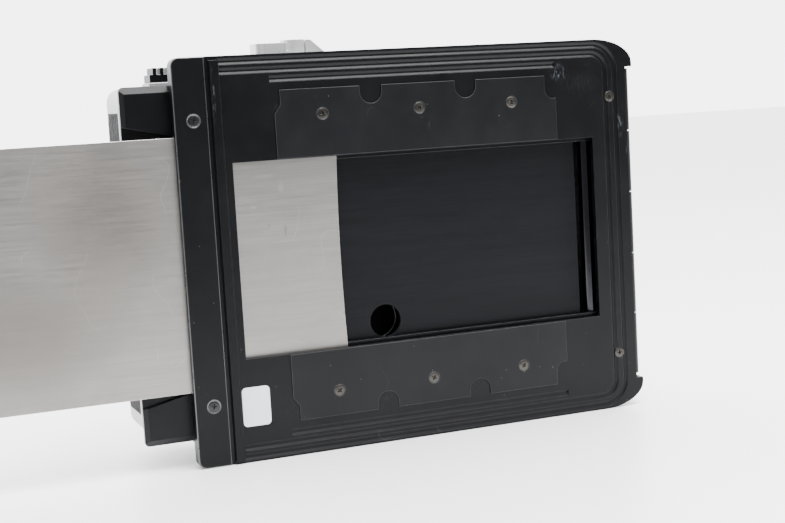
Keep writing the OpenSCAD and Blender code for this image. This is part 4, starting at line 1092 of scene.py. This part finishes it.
@dataclass
class Screws(Assembly):
    """The countersunk cross-head screws of the whole holder, and the rivets of the handle."""

    head_r_mm: float = 1.75
    dome_mm: float = 0.12
    cone_mm: float = 0.8
    shank_r_mm: float = 0.95
    shank_mm: float = 3.2
    cross_w_mm: float = 0.46
    cross_l_mm: float = 2.1
    cross_deep_mm: float = 0.55
    cad_r_mm: float = 1.8
    sides: int = 32

    def head(self, name: str) -> bpy.types.Object:
        """Turns one screw with its head's top at the origin, pointing along +Y, and cuts its cross.

        Args:
            name: The object's name.

        Returns:
            The model screw.
        """
        lathe = [(0.0, 0.0), (0.55 * self.head_r_mm, 0.02), (0.86 * self.head_r_mm, 0.06),
                 (0.97 * self.head_r_mm, self.dome_mm), (self.head_r_mm, self.dome_mm + 0.1),
                 (self.shank_r_mm, self.cone_mm + self.dome_mm), (self.shank_r_mm, self.shank_mm),
                 (0.6 * self.shank_r_mm, self.shank_mm + 0.3), (0.0, self.shank_mm + 0.3)]
        body = self.turned(name, lathe)
        body.modifiers.new("cross", "BOOLEAN")
        cutter = self.cross()
        cut = body.modifiers["cross"]
        cut.object = cutter
        cut.operation = "DIFFERENCE"
        cut.solver = "EXACT"
        cut.use_self = True
        self.bench.round_edges(body, Rounding(0.05, 2, 50.0))
        self.bench.settle(body)
        bpy.data.objects.remove(cutter)
        return body

    def turned(self, name: str, lathe: list[tuple[float, float]]) -> bpy.types.Object:
        """Turns an outline about the Y axis.

        Args:
            name: The object's name.
            lathe: Radius and Y of the outline's points, in millimetres.

        Returns:
            The turned object.
        """
        shape = bmesh.new()
        rings = []
        for radius, y in lathe:
            if radius == 0.0:
                rings.append([shape.verts.new((0.0, y * MM, 0.0))])
                continue
            angles = [math.tau * i / self.sides for i in range(self.sides)]
            rings.append([shape.verts.new((radius * MM * math.cos(a), y * MM, radius * MM * math.sin(a)))
                          for a in angles])
        for near, far in zip(rings, rings[1:]):
            for i in range(self.sides):
                j = (i + 1) % self.sides
                corners = [near[i % len(near)], near[j % len(near)], far[j % len(far)], far[i % len(far)]]
                shape.faces.new(list(dict.fromkeys(corners)))
        bmesh.ops.recalc_face_normals(shape, faces=shape.faces)
        for face in shape.faces:
            face.smooth = True
        mesh = bpy.data.meshes.new(name)
        shape.to_mesh(mesh)
        shape.free()
        return self.bench.new_object(name, mesh)

    def cross(self) -> bpy.types.Object:
        """Makes the cross that is cut out of a head: two bars that narrow as they go down."""
        shape = bmesh.new()
        for long_x in (True, False):
            made = bmesh.ops.create_cube(shape, size=1.0)["verts"]
            for vert in made:
                deep = vert.co.y > 0
                taper = 0.45 if deep else 1.0
                x, z = (self.cross_l_mm, self.cross_w_mm) if long_x else (self.cross_w_mm, self.cross_l_mm)
                y = self.cross_deep_mm if deep else -0.3
                vert.co = Vector((vert.co.x * x * taper, y, vert.co.z * z * taper)) * MM
        mesh = bpy.data.meshes.new("cross_cutter")
        shape.to_mesh(mesh)
        shape.free()
        return self.bench.new_object("cross_cutter", mesh)

    def rivet(self, name: str, radius_mm: float, long_mm: float) -> bpy.types.Object:
        """Turns a rivet with two low domed heads, along +Y from the origin.

        Args:
            name: The object's name.
            radius_mm: Its radius.
            long_mm: Its length.

        Returns:
            The model rivet.
        """
        dome = [(0.0, 0.0), (0.5 * radius_mm, 0.04), (0.85 * radius_mm, 0.14), (radius_mm, 0.35)]
        far = [(r, long_mm - y) for r, y in reversed(dome)]
        return self.turned(name, dome + far)

    def build(self) -> None:
        """Sets the screws and rivets in their places."""
        graph = SetGraph()
        screw = self.head("model_screw")
        rivet_low, rivet_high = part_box("handle_rivets")
        rivet_r = (rivet_high.x - rivet_low.x) / 2 / MM
        rivet = self.rivet("model_rivet", rivet_r, (rivet_high.y - rivet_low.y) / MM)
        cad_r = self.cad_r_mm * MM
        mask_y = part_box("mask_screws")[0].y
        end_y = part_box("end_screws")[0].y
        cap_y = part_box("cap_screws")[0].y
        rows = [
            ("mask_screws", grid_places("mask_screws", cad_r, [-1.0, 0.0, 1.0], mask_y), SCREW_STEEL, screw,
             3),
            ("end_screws", grid_places("end_screws", cad_r, [0.0], end_y), SCREW_STEEL, screw, 8),
            ("cap_screws", grid_places("cap_screws", cad_r, [0.0], cap_y), SCREW_BLACK, screw, 5),
            ("handle_rivets", [Vector(((rivet_low.x + rivet_high.x) / 2, rivet_low.y, z))
                               for z in (rivet_low.z + rivet_r * MM, 0.0, rivet_high.z - rivet_r * MM)],
             STEEL, rivet, 1),
        ]
        for node, places, finish, model, seed in rows:
            piece = self.bench.points(f"{node}_fine", places)
            graph.grow(self.bench, piece, finish, {"Model": model, "Seed": seed})
            self.bench.hand_over(piece, node)
        for model in (screw, rivet):
            bpy.data.objects.remove(model)
        self.bench.dress("insert_screws", STEEL)


@dataclass
class MountingPlate(Assembly):
    """The grooved plate, its cap, the two mask plates and the paper label."""

    cap_edge: Rounding = Rounding(0.33, 4)
    mask_edge: Rounding = Rounding(0.14, 2)
    groove_pitch: float = 2.8
    groove_inset: float = 1.75
    side_inset: float = 4.1
    side_pitch: float = 3.5
    groove_corner: float = 8.0
    groove_start: float = -62.3
    plate_right: float = 73.0
    short_half: float = 47.2
    flank: tuple[tuple[float, float], ...] = (
        (-0.96, 0.01), (-0.24, 0.44), (0.24, 0.44), (0.96, 0.01), (0.96, 0.9), (-0.96, 0.9))
    arc_steps: int = 10

    def long_path(self, number: int) -> list[Vector]:
        """Follows the middle of a groove that runs round the top, the right edge and the bottom.

        Args:
            number: 0 for the outer groove and 1 for the inner one.

        Returns:
            Places in X and Z, in millimetres.
        """
        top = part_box("mount_plate")[1].z / MM - self.groove_inset - number * self.groove_pitch
        right = self.plate_right - self.side_inset - number * self.side_pitch
        radius = self.groove_corner - number * self.groove_pitch
        middle_x, middle_z = right - radius, top - radius
        path = [Vector((self.groove_start, top))]
        for way in (1, -1):
            angles = (math.pi / 2 * i / self.arc_steps for i in range(self.arc_steps + 1))
            arc = [Vector((middle_x + radius * math.sin(a), way * (middle_z + radius * math.cos(a))))
                   for a in angles]
            path.extend(arc if way > 0 else reversed(arc))
        path.append(Vector((self.groove_start, -top)))
        return path

    def line_groove(self, name: str, path: list[Vector]) -> None:
        """Gives a groove its slanted flanks by laying a lining in it.

        Args:
            name: The lining's name.
            path: The groove's middle line, in millimetres.
        """
        shape = bmesh.new()
        rings = []
        for i, spot in enumerate(path):
            back, ahead = path[max(0, i - 1)], path[min(len(path) - 1, i + 1)]
            along = (ahead - back).normalized()
            across = Vector((-along.y, along.x))
            rings.append([
                shape.verts.new(Vector((spot.x + across.x * s, d, spot.y + across.y * s)) * MM)
                for s, d in self.flank])
        count = len(self.flank)
        for near, far in zip(rings, rings[1:]):
            for k in range(count):
                j = (k + 1) % count
                shape.faces.new([near[k], near[j], far[j], far[k]])
        shape.faces.new(rings[0])
        shape.faces.new(list(reversed(rings[-1])))
        bmesh.ops.recalc_face_normals(shape, faces=shape.faces)
        mesh = bpy.data.meshes.new(name)
        shape.to_mesh(mesh)
        shape.free()
        piece = self.bench.new_object(name, mesh, PLATE_PAINT)
        self.bench.hand_over(piece, "mount_plate", replaced=False)

    def line_grooves(self) -> None:
        """Lines the two long grooves and the two short ones."""
        for number in (0, 1):
            self.line_groove(f"groove_lining_{number + 1}", self.long_path(number))
        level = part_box("mount_plate")[1].z / MM - self.groove_inset - 2 * self.groove_pitch
        half = self.short_half - 0.02
        for side, name in ((1, "upper"), (-1, "lower")):
            ends = [Vector((-half, side * level)), Vector((half, side * level))]
            self.line_groove(f"groove_lining_{name}", ends)

    def build(self) -> None:
        """Makes the plate's pieces."""
        self.bench.dress("mount_plate", PLATE_PAINT)
        self.line_grooves()
        self.bench.refine("slide_cap", CASTING_PAINT, self.cap_edge, RIM_WEAR_AND_HIGHLIGHT)
        for node in ("upper_mask_plate", "lower_mask_plate"):
            self.bench.refine(node, MASK_PAINT, self.mask_edge, MASK_RIM_WEAR_AND_HIGHLIGHT)
        self.bench.refine("paper_label", PAPER, Rounding(0.03, 2))


@dataclass
class DarkSlide(Assembly):
    """The steel slide with its handle, and the felts that shut its slot."""

    sheet_edge: Rounding = Rounding(0.08, 2)
    handle_edge: Rounding = Rounding(0.12, 2)

    def build(self) -> None:
        """Makes the slide's pieces."""
        self.bench.refine("dark_slide", SLIDE_STEEL, self.sheet_edge, SLIDE_EDGE)
        self.bench.refine("slide_handle", CASTING_PAINT, self.handle_edge, RIM_WEAR_AND_HIGHLIGHT)
        self.bench.dress("slot_felts", FELT)
        self.bench.dress("felt_spring", SPRING_STEEL)


@dataclass
class FilmGate(Assembly):
    """The gate frame, the film insert, the rollers and the sprung pressure plate."""

    coil_r_mm: float = 2.6
    wire_mm: float = 0.28
    turns: float = 6.5
    travel_joint: str = "pressure_plate_travel"

    def build(self) -> None:
        """Makes the gate's pieces."""
        self.bench.dress("gate_frame", CASTING_SOFT)
        self.bench.refine("film_insert", CASTING_PAINT, Rounding(0.2, 2), RIM_WEAR_AND_HIGHLIGHT)
        self.bench.refine("pressure_plate", BLACK_ANODISE, Rounding(0.15, 2))
        for node in ("left_guide_roller", "right_guide_roller"):
            self.bench.refine(node, ROLLER_STEEL, Rounding(0.12, 2))
        for node in ("roller_pins", "plate_posts", "spool_pins"):
            self.bench.dress(node, STEEL)
        self.bench.dress("tension_spring", SPRING_STEEL)
        self.springs()

    def springs(self) -> None:
        """Winds the four springs."""
        low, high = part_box("plate_springs")
        outer = self.coil_r_mm * MM
        length = high.y - low.y
        wire = self.wire_mm * MM
        places = grid_places("plate_springs", outer, [-1.0, 1.0], low.y + wire)
        piece = self.bench.points("plate_springs_fine", places)
        CoilGraph().grow(self.bench, piece, SPRING_STEEL, {
            "Radius": outer - wire, "Length": length - 2 * wire, "Turns": self.turns, "Wire": wire})
        for face in piece.data.polygons:
            face.use_smooth = True
        self.bench.hand_over(piece, "plate_springs")
        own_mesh(piece)


@dataclass
class Casing(Assembly):
    """The casing behind the plate."""

    def build(self) -> None:
        """Makes the casing."""
        self.bench.dress("casing", CASTING_SOFT)


@dataclass
class WindTrain(Assembly):
    """The take-up spool, its drive key, the gears, their posts and the clutch."""

    spool_edge: Rounding = Rounding(0.2, 2)

    def build(self) -> None:
        """Makes the wind train's pieces."""
        self.bench.refine("take_up_spool", SPOOL_PLASTIC, self.spool_edge)
        for node in ("take_up_gear", "idler_gear", "lever_gear", "gear_plate", "lever_bush"):
            self.bench.dress(node, BRASS)
        for node in ("drive_key", "idler_post", "gear_plate_posts", "clutch_drum", "lever_shaft"):
            self.bench.dress(node, STEEL)
        self.bench.dress("lever_spring", BLUED_STEEL)


@dataclass
class WindLever(Assembly):
    """The lever with its ribbed grip, its slotted screw and the seat under it."""

    lever_edge: Rounding = Rounding(0.07, 2)
    seat_edge: Rounding = Rounding(0.25, 3)

    def build(self) -> None:
        """Makes the lever's pieces."""
        self.bench.refine("wind_lever", LEVER_CHROME, self.lever_edge)
        self.bench.refine("lever_housing", LEVER_CHROME, self.seat_edge)
        self.bench.refine("lever_screw", STEEL, Rounding(0.12, 2))


@dataclass
class Counter(Assembly):
    """The frame counter: its dial with marks and figures, its gear, post, bezel and window."""

    marks: int = 30
    figures: int = 6
    figure_mm: float = 2.0
    figure_ring_mm: float = 3.9
    stroke_share: float = 0.97
    ink_mm: float = 0.04

    def build(self) -> None:
        """Makes the counter's pieces."""
        self.bench.dress("counter_dial", DIAL_WHITE)
        self.bench.dress("counter_gear", BRASS)
        self.bench.dress("counter_post", STEEL)
        self.bench.refine("counter_bezel", SILVER, Rounding(0.15, 2))
        self.bench.dress("counter_window", GLASS)
        self.ring()
        self.numbers()

    def ring(self) -> None:
        """Prints the short marks round the dial."""
        low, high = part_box("counter_dial")
        radius = (high.x - low.x) / 2
        middle = centre_of("counter_dial")
        top = Vector((middle.x, middle.y, high.z + self.ink_mm * MM / 2))
        piece = self.bench.points("dial_marks", [top])
        size = (0.9 * MM, 0.22 * MM, self.ink_mm * MM)
        DialGraph().grow(self.bench, piece, DIAL_INK, {
            "Count": self.marks, "Radius": radius - 0.7 * MM, "Size": size, "Middle": tuple(top)})
        self.bench.hand_over(piece, "counter_dial", replaced=False)

    def numbers(self) -> None:
        """Prints the frame numbers from 1, one for each stroke of the lever."""
        middle = centre_of("counter_dial")
        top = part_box("counter_dial")[1].z
        turn = math.radians(self.bench.joint["counter_turn"]["range_deg"][0])
        ratio_step = abs(turn) * self.stroke_share
        ring = self.figure_ring_mm * MM
        for number in range(1, self.figures + 1):
            curve = bpy.data.curves.new(f"figure_{number}", "FONT")
            curve.body = str(number)
            curve.size = self.figure_mm * MM
            curve.align_x = "CENTER"
            curve.align_y = "CENTER"
            curve.extrude = self.ink_mm * MM / 2
            holder = bpy.data.objects.new(f"figure_{number}", curve)
            bpy.context.scene.collection.objects.link(holder)
            graph = bpy.context.evaluated_depsgraph_get()
            mesh = bpy.data.meshes.new_from_object(holder.evaluated_get(graph), depsgraph=graph)
            bpy.data.objects.remove(holder)
            angle = math.pi + (number - 1) * ratio_step
            spot = Vector((middle.x + ring * math.cos(angle), middle.y + ring * math.sin(angle), top))
            mesh.transform(Matrix.Translation(spot) @ Matrix.Rotation(angle + math.pi / 2, 4, "Z"))
            piece = self.bench.new_object(f"dial_figure_{number}", mesh, DIAL_INK)
            self.bench.hand_over(piece, "counter_dial", replaced=False)


@dataclass
class RearCover(Assembly):
    """The silver rear cover with its leather, its foam seals and its hinge."""

    cell_mm: float = 0.55
    grain_mm: float = 0.22
    pebbles_per_m: float = 1050.0
    thick_mm: float = 0.35
    rim_mm: float = 0.5
    sink_mm: float = 0.12
    window_gap_mm: float = 1.3
    edge: Rounding = Rounding(0.12, 2)

    def build(self) -> None:
        """Makes the cover's pieces."""
        self.bench.refine("rear_cover", SILVER, self.edge)
        self.bench.refine("hinge_leaf", CASTING_PAINT, Rounding(0.25, 3), RIM_WEAR_AND_HIGHLIGHT)
        self.bench.dress("hinge_pin", STEEL)
        self.bench.dress("cover_seal", FOAM)
        self.leather()

    def outline(self) -> list[tuple[Vector, Vector]]:
        """Follows the leather's outer face round the cover, seen from above.

        Returns:
            Places and outward directions in X and Y, about one cell apart.
        """
        low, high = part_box("leatherette")
        axis = Vector(self.bench.joint["take_up_turn"]["pos_m"])
        radius = axis.x - low.x
        right_axis_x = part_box("rear_cover")[1].x - (radius - 0.1 * MM)
        step = self.cell_mm * MM
        path: list[tuple[Vector, Vector]] = []

        def straight(start: Vector, end: Vector, out: Vector) -> None:
            """Adds a straight stretch, without its end."""
            count = max(1, round((end - start).length / step))
            path.extend((start.lerp(end, i / count), out) for i in range(count))

        def bend(middle: Vector, first: float, last: float, whole: bool) -> None:
            """Adds a round stretch, with its end if it is the last."""
            count = max(1, round(radius * abs(last - first) / step))
            for i in range(count + (1 if whole else 0)):
                angle = first + (last - first) * i / count
                out = Vector((math.cos(angle), math.sin(angle), 0.0))
                path.append((middle + radius * out, out))

        left = Vector((axis.x, axis.y, 0.0))
        right = Vector((right_axis_x, axis.y, 0.0))
        straight(Vector((low.x, low.y, 0.0)), Vector((low.x, axis.y, 0.0)), Vector((-1.0, 0.0, 0.0)))
        bend(left, math.pi, math.pi / 2, False)
        straight(left + Vector((0, radius, 0)), right + Vector((0, radius, 0)), Vector((0.0, 1.0, 0.0)))
        bend(right, math.pi / 2, math.acos((high.x - right_axis_x) / radius), True)
        return path

    def leather(self) -> None:
        """Lays the leather as a closed band, cuts its window and raises its grain."""
        low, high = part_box("leatherette")
        path = self.outline()
        rows = max(2, round((high.z - low.z) / (self.cell_mm * MM)))
        rim = self.rim_mm / self.cell_mm
        shape = bmesh.new()
        grain = shape.verts.layers.float.new("grain")
        outer = []
        last = len(path) - 1
        for i, (spot, out) in enumerate(path):
            column = []
            for k in range(rows + 1):
                near_edge = min(1.0, min(i, last - i, k, rows - k) / rim)
                sink = self.sink_mm * MM * (1.0 - near_edge) ** 2
                z = low.z + (high.z - low.z) * k / rows
                vert = shape.verts.new(spot - out * sink + Vector((0, 0, z)))
                vert[grain] = near_edge
                column.append(vert)
            outer.append(column)
        thick = self.thick_mm * MM
        inner = [[shape.verts.new(spot - out * thick + Vector((0, 0, z))) for z in (low.z, high.z)]
                 for spot, out in path]
        for i in range(last):
            for k in range(rows):
                shape.faces.new([outer[i][k], outer[i][k + 1], outer[i + 1][k + 1], outer[i + 1][k]])
            shape.faces.new([inner[i][0], inner[i + 1][0], inner[i + 1][1], inner[i][1]])
            shape.faces.new([outer[i][0], outer[i + 1][0], inner[i + 1][0], inner[i][0]])
            shape.faces.new([outer[i][rows], inner[i][1], inner[i + 1][1], outer[i + 1][rows]])
        shape.faces.new([*outer[0], inner[0][1], inner[0][0]])
        shape.faces.new([inner[last][0], inner[last][1], *reversed(outer[last])])
        bmesh.ops.recalc_face_normals(shape, faces=shape.faces)
        for face in shape.faces:
            face.smooth = True
        mesh = bpy.data.meshes.new("leatherette_fine")
        shape.to_mesh(mesh)
        shape.free()
        piece = self.bench.new_object("leatherette_fine", mesh, LEATHER)
        self.cut_window(piece)
        GrainGraph().grow(self.bench, piece, LEATHER, {
            "Depth": self.grain_mm * MM, "Scale": self.pebbles_per_m})
        self.bench.hand_over(piece, "leatherette")

    def cut_window(self, piece: bpy.types.Object) -> None:
        """Cuts the film window's hole in the leather.

        Args:
            piece: The leather.
        """
        low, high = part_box("window_lens")
        radius = (high.z - low.z) / 2 + self.window_gap_mm * MM
        middle = (low + high) / 2
        shape = bmesh.new()
        turn = Matrix.Translation(middle) @ Matrix.Rotation(math.pi / 2, 4, "X")
        bmesh.ops.create_cone(shape, cap_ends=True, segments=72, radius1=radius, radius2=radius,
                              depth=12 * MM, matrix=turn)
        mesh = bpy.data.meshes.new("window_cutter")
        shape.to_mesh(mesh)
        shape.free()
        cutter = self.bench.new_object("window_cutter", mesh)
        cut = piece.modifiers.new("window", "BOOLEAN")
        cut.object = cutter
        cut.solver = "EXACT"
        self.bench.settle(piece, LEATHER)
        bpy.data.objects.remove(cutter)


@dataclass
class Latch(Assembly):
    """The cover's latch: a finned slider on a silver strip, its spring and its catch."""

    def build(self) -> None:
        """Makes the latch's pieces."""
        self.bench.refine("latch_slider", CASTING_SOFT, Rounding(0.07, 2), RIM_WEAR_AND_HIGHLIGHT)
        self.bench.refine("latch_base", SILVER, Rounding(0.2, 3))
        self.bench.dress("latch_spring", SPRING_STEEL)
        self.bench.dress("latch_catch", STEEL)


@dataclass
class FilmWindow(Assembly):
    """The red film window on the cover's back, its frame and its sliding shutter."""

    def build(self) -> None:
        """Makes the window's pieces."""
        self.bench.refine("window_frame", SILVER, Rounding(0.1, 2))
        self.bench.refine("window_shutter", CASTING_PAINT, Rounding(0.2, 3), RIM_WEAR_AND_HIGHLIGHT)
        self.bench.dress("window_lens", RED_GLASS)


# ---- Studio ----------------------------------------------------------------------


@dataclass(frozen=True)
class FloorPaint(Finish):
    """A pale, slightly glossy table top, with painted shade on the part in front of the lens."""

    tone: Rgb = (0.88, 0.88, 0.885)
    # Colour of the painted shade on the floor in front of the lens.
    front_tone: Rgb = (0.05, 0.05, 0.052)
    lens_way: Rgb = (0.366, 0.931, 0.0)
    fade_m: tuple[float, float] = (-0.34, -0.12)

    def surface(self, board: Shader) -> bpy.types.NodeSocket:
        """Builds the floor's shader, with painted shade on the floor in front of the lens so that black paint
        stays black.

        Args:
            board: The material's tree.

        Returns:
            The shader's output.
        """
        cloud = board.noise(board.place(), 3.0, 2.0)
        pale = board.tint(cloud, tuple(0.99 * c for c in self.tone), self.tone)
        ahead = board.add("ShaderNodeVectorMath", {0: board.place(), 1: self.lens_way},
                          operation="DOT_PRODUCT")
        # Painted shade: the floor goes from pale to dark towards the lens.
        colour = board.tint(board.spread(ahead.outputs["Value"], self.fade_m), self.front_tone, pale)
        return board.add("ShaderNodeBsdfPrincipled", {
            "Base Color": colour, "Roughness": 0.35, "Specular IOR Level": 0.35}).outputs["BSDF"]


@dataclass(frozen=True)
class Lamp:
    """A soft square lamp.

    Args:
        name: Its name.
        place: Where it hangs, in metres.
        size: Its width and depth, in metres.
        watts: Its power.
    """

    name: str
    place: Rgb
    size: tuple[float, float]
    watts: float


@dataclass
class Studio:
    """The floor, the lamps, the pale surround and the camera."""

    floor_size: float = 8.0
    surround: Rgb = (1.0, 1.0, 1.01)
    behind: float = 5.5
    in_front: float = 0.2
    above: float = 2.2
    lens_mm: float = 66.0
    sensor_mm: float = 36.0
    camera_place: Rgb = (-0.17235, -0.4085, 0.04468)
    camera_right: Rgb = (0.9269, -0.3715, -0.0573)
    camera_up: Rgb = (0.0942, 0.0822, 0.9922)
    lamps: tuple[Lamp, ...] = field(default_factory=lambda: (
        Lamp("top_softbox", (0.15, -0.22, 0.80), (0.75, 0.55), 26.0),
        Lamp("slide_card", (0.30, -0.85, 0.10), (0.5, 0.4), 0.12),
        Lamp("left_card", (-0.8, -0.1, 0.25), (0.4, 0.4), 1.2),
    ))

    def build(self) -> None:
        """Sets up the studio."""
        self.set_camera()
        self.lay_floor()
        self.light()

    def set_camera(self) -> None:
        """Places the camera."""
        lens = bpy.data.cameras.new("camera")
        lens.lens = self.lens_mm
        lens.sensor_width = self.sensor_mm
        lens.clip_start = 0.01
        eye = bpy.data.objects.new("camera", lens)
        bpy.context.scene.collection.objects.link(eye)
        right = Vector(self.camera_right).normalized()
        back = right.cross(Vector(self.camera_up)).normalized()
        up = back.cross(right)
        turn = Matrix((right, up, back)).transposed().to_4x4()
        eye.matrix_world = Matrix.Translation(self.camera_place) @ turn
        bpy.context.scene.camera = eye

    def lay_floor(self) -> None:
        """Lays the floor under the object."""
        half = self.floor_size / 2
        z = CAD_BOX[0].z
        mesh = bpy.data.meshes.new("floor")
        mesh.from_pydata([(-half, -half, z), (half, -half, z), (half, half, z), (-half, half, z)], [],
                         [(0, 1, 2, 3)])
        floor = bpy.data.objects.new("floor", mesh)
        bpy.context.scene.collection.objects.link(floor)
        mesh.materials.append(FloorPaint("floor_paint").material())

    def light(self) -> None:
        """Hangs the lamps and lights the surround."""
        for lamp in self.lamps:
            data = bpy.data.lights.new(lamp.name, "AREA")
            data.shape = "RECTANGLE"
            data.size, data.size_y = lamp.size
            data.energy = lamp.watts
            holder = bpy.data.objects.new(lamp.name, data)
            bpy.context.scene.collection.objects.link(holder)
            holder.location = lamp.place
            holder.rotation_euler = Vector(lamp.place).to_track_quat("Z", "Y").to_euler()
        bpy.context.scene.world = self.sky()

    def sky(self) -> bpy.types.World:
        """Returns a surround that is bright behind and above the object and dim in front of it."""
        world = bpy.data.worlds.new("surround")
        world.use_nodes = True
        world.node_tree.nodes.clear()
        board = Shader(world.node_tree)
        way = board.add("ShaderNodeTexCoord").outputs["Generated"]
        parts = board.add("ShaderNodeSeparateXYZ", {"Vector": way}).outputs
        behind = board.spread(parts["Y"], (0.0, 0.6))
        above = board.spread(parts["Z"], (0.1, 0.8), (0.0, self.above))
        power = board.math("MULTIPLY", behind, self.behind - self.in_front)
        power = board.math("ADD", board.math("ADD", power, self.in_front), above)
        glow = board.add("ShaderNodeBackground", {"Color": (*self.surround, 1.0), "Strength": power})
        board.add("ShaderNodeOutputWorld", {"Surface": glow.outputs[0]})
        return world


def main() -> None:
    """Builds the studio and every sub-assembly in order."""
    logging.basicConfig(level=logging.INFO, format="%(name)s: %(message)s")
    bench = Bench(frame["record"])
    Studio().build()
    assemblies = [
        MountingPlate(bench), Screws(bench), DarkSlide(bench), FilmGate(bench), Casing(bench),
        WindTrain(bench), WindLever(bench), Counter(bench), RearCover(bench), Latch(bench),
        FilmWindow(bench),
    ]
    for assembly in assemblies:
        assembly.build()
        log.info("finished %s", type(assembly).__name__)


if __name__ == "__main__":
    main()
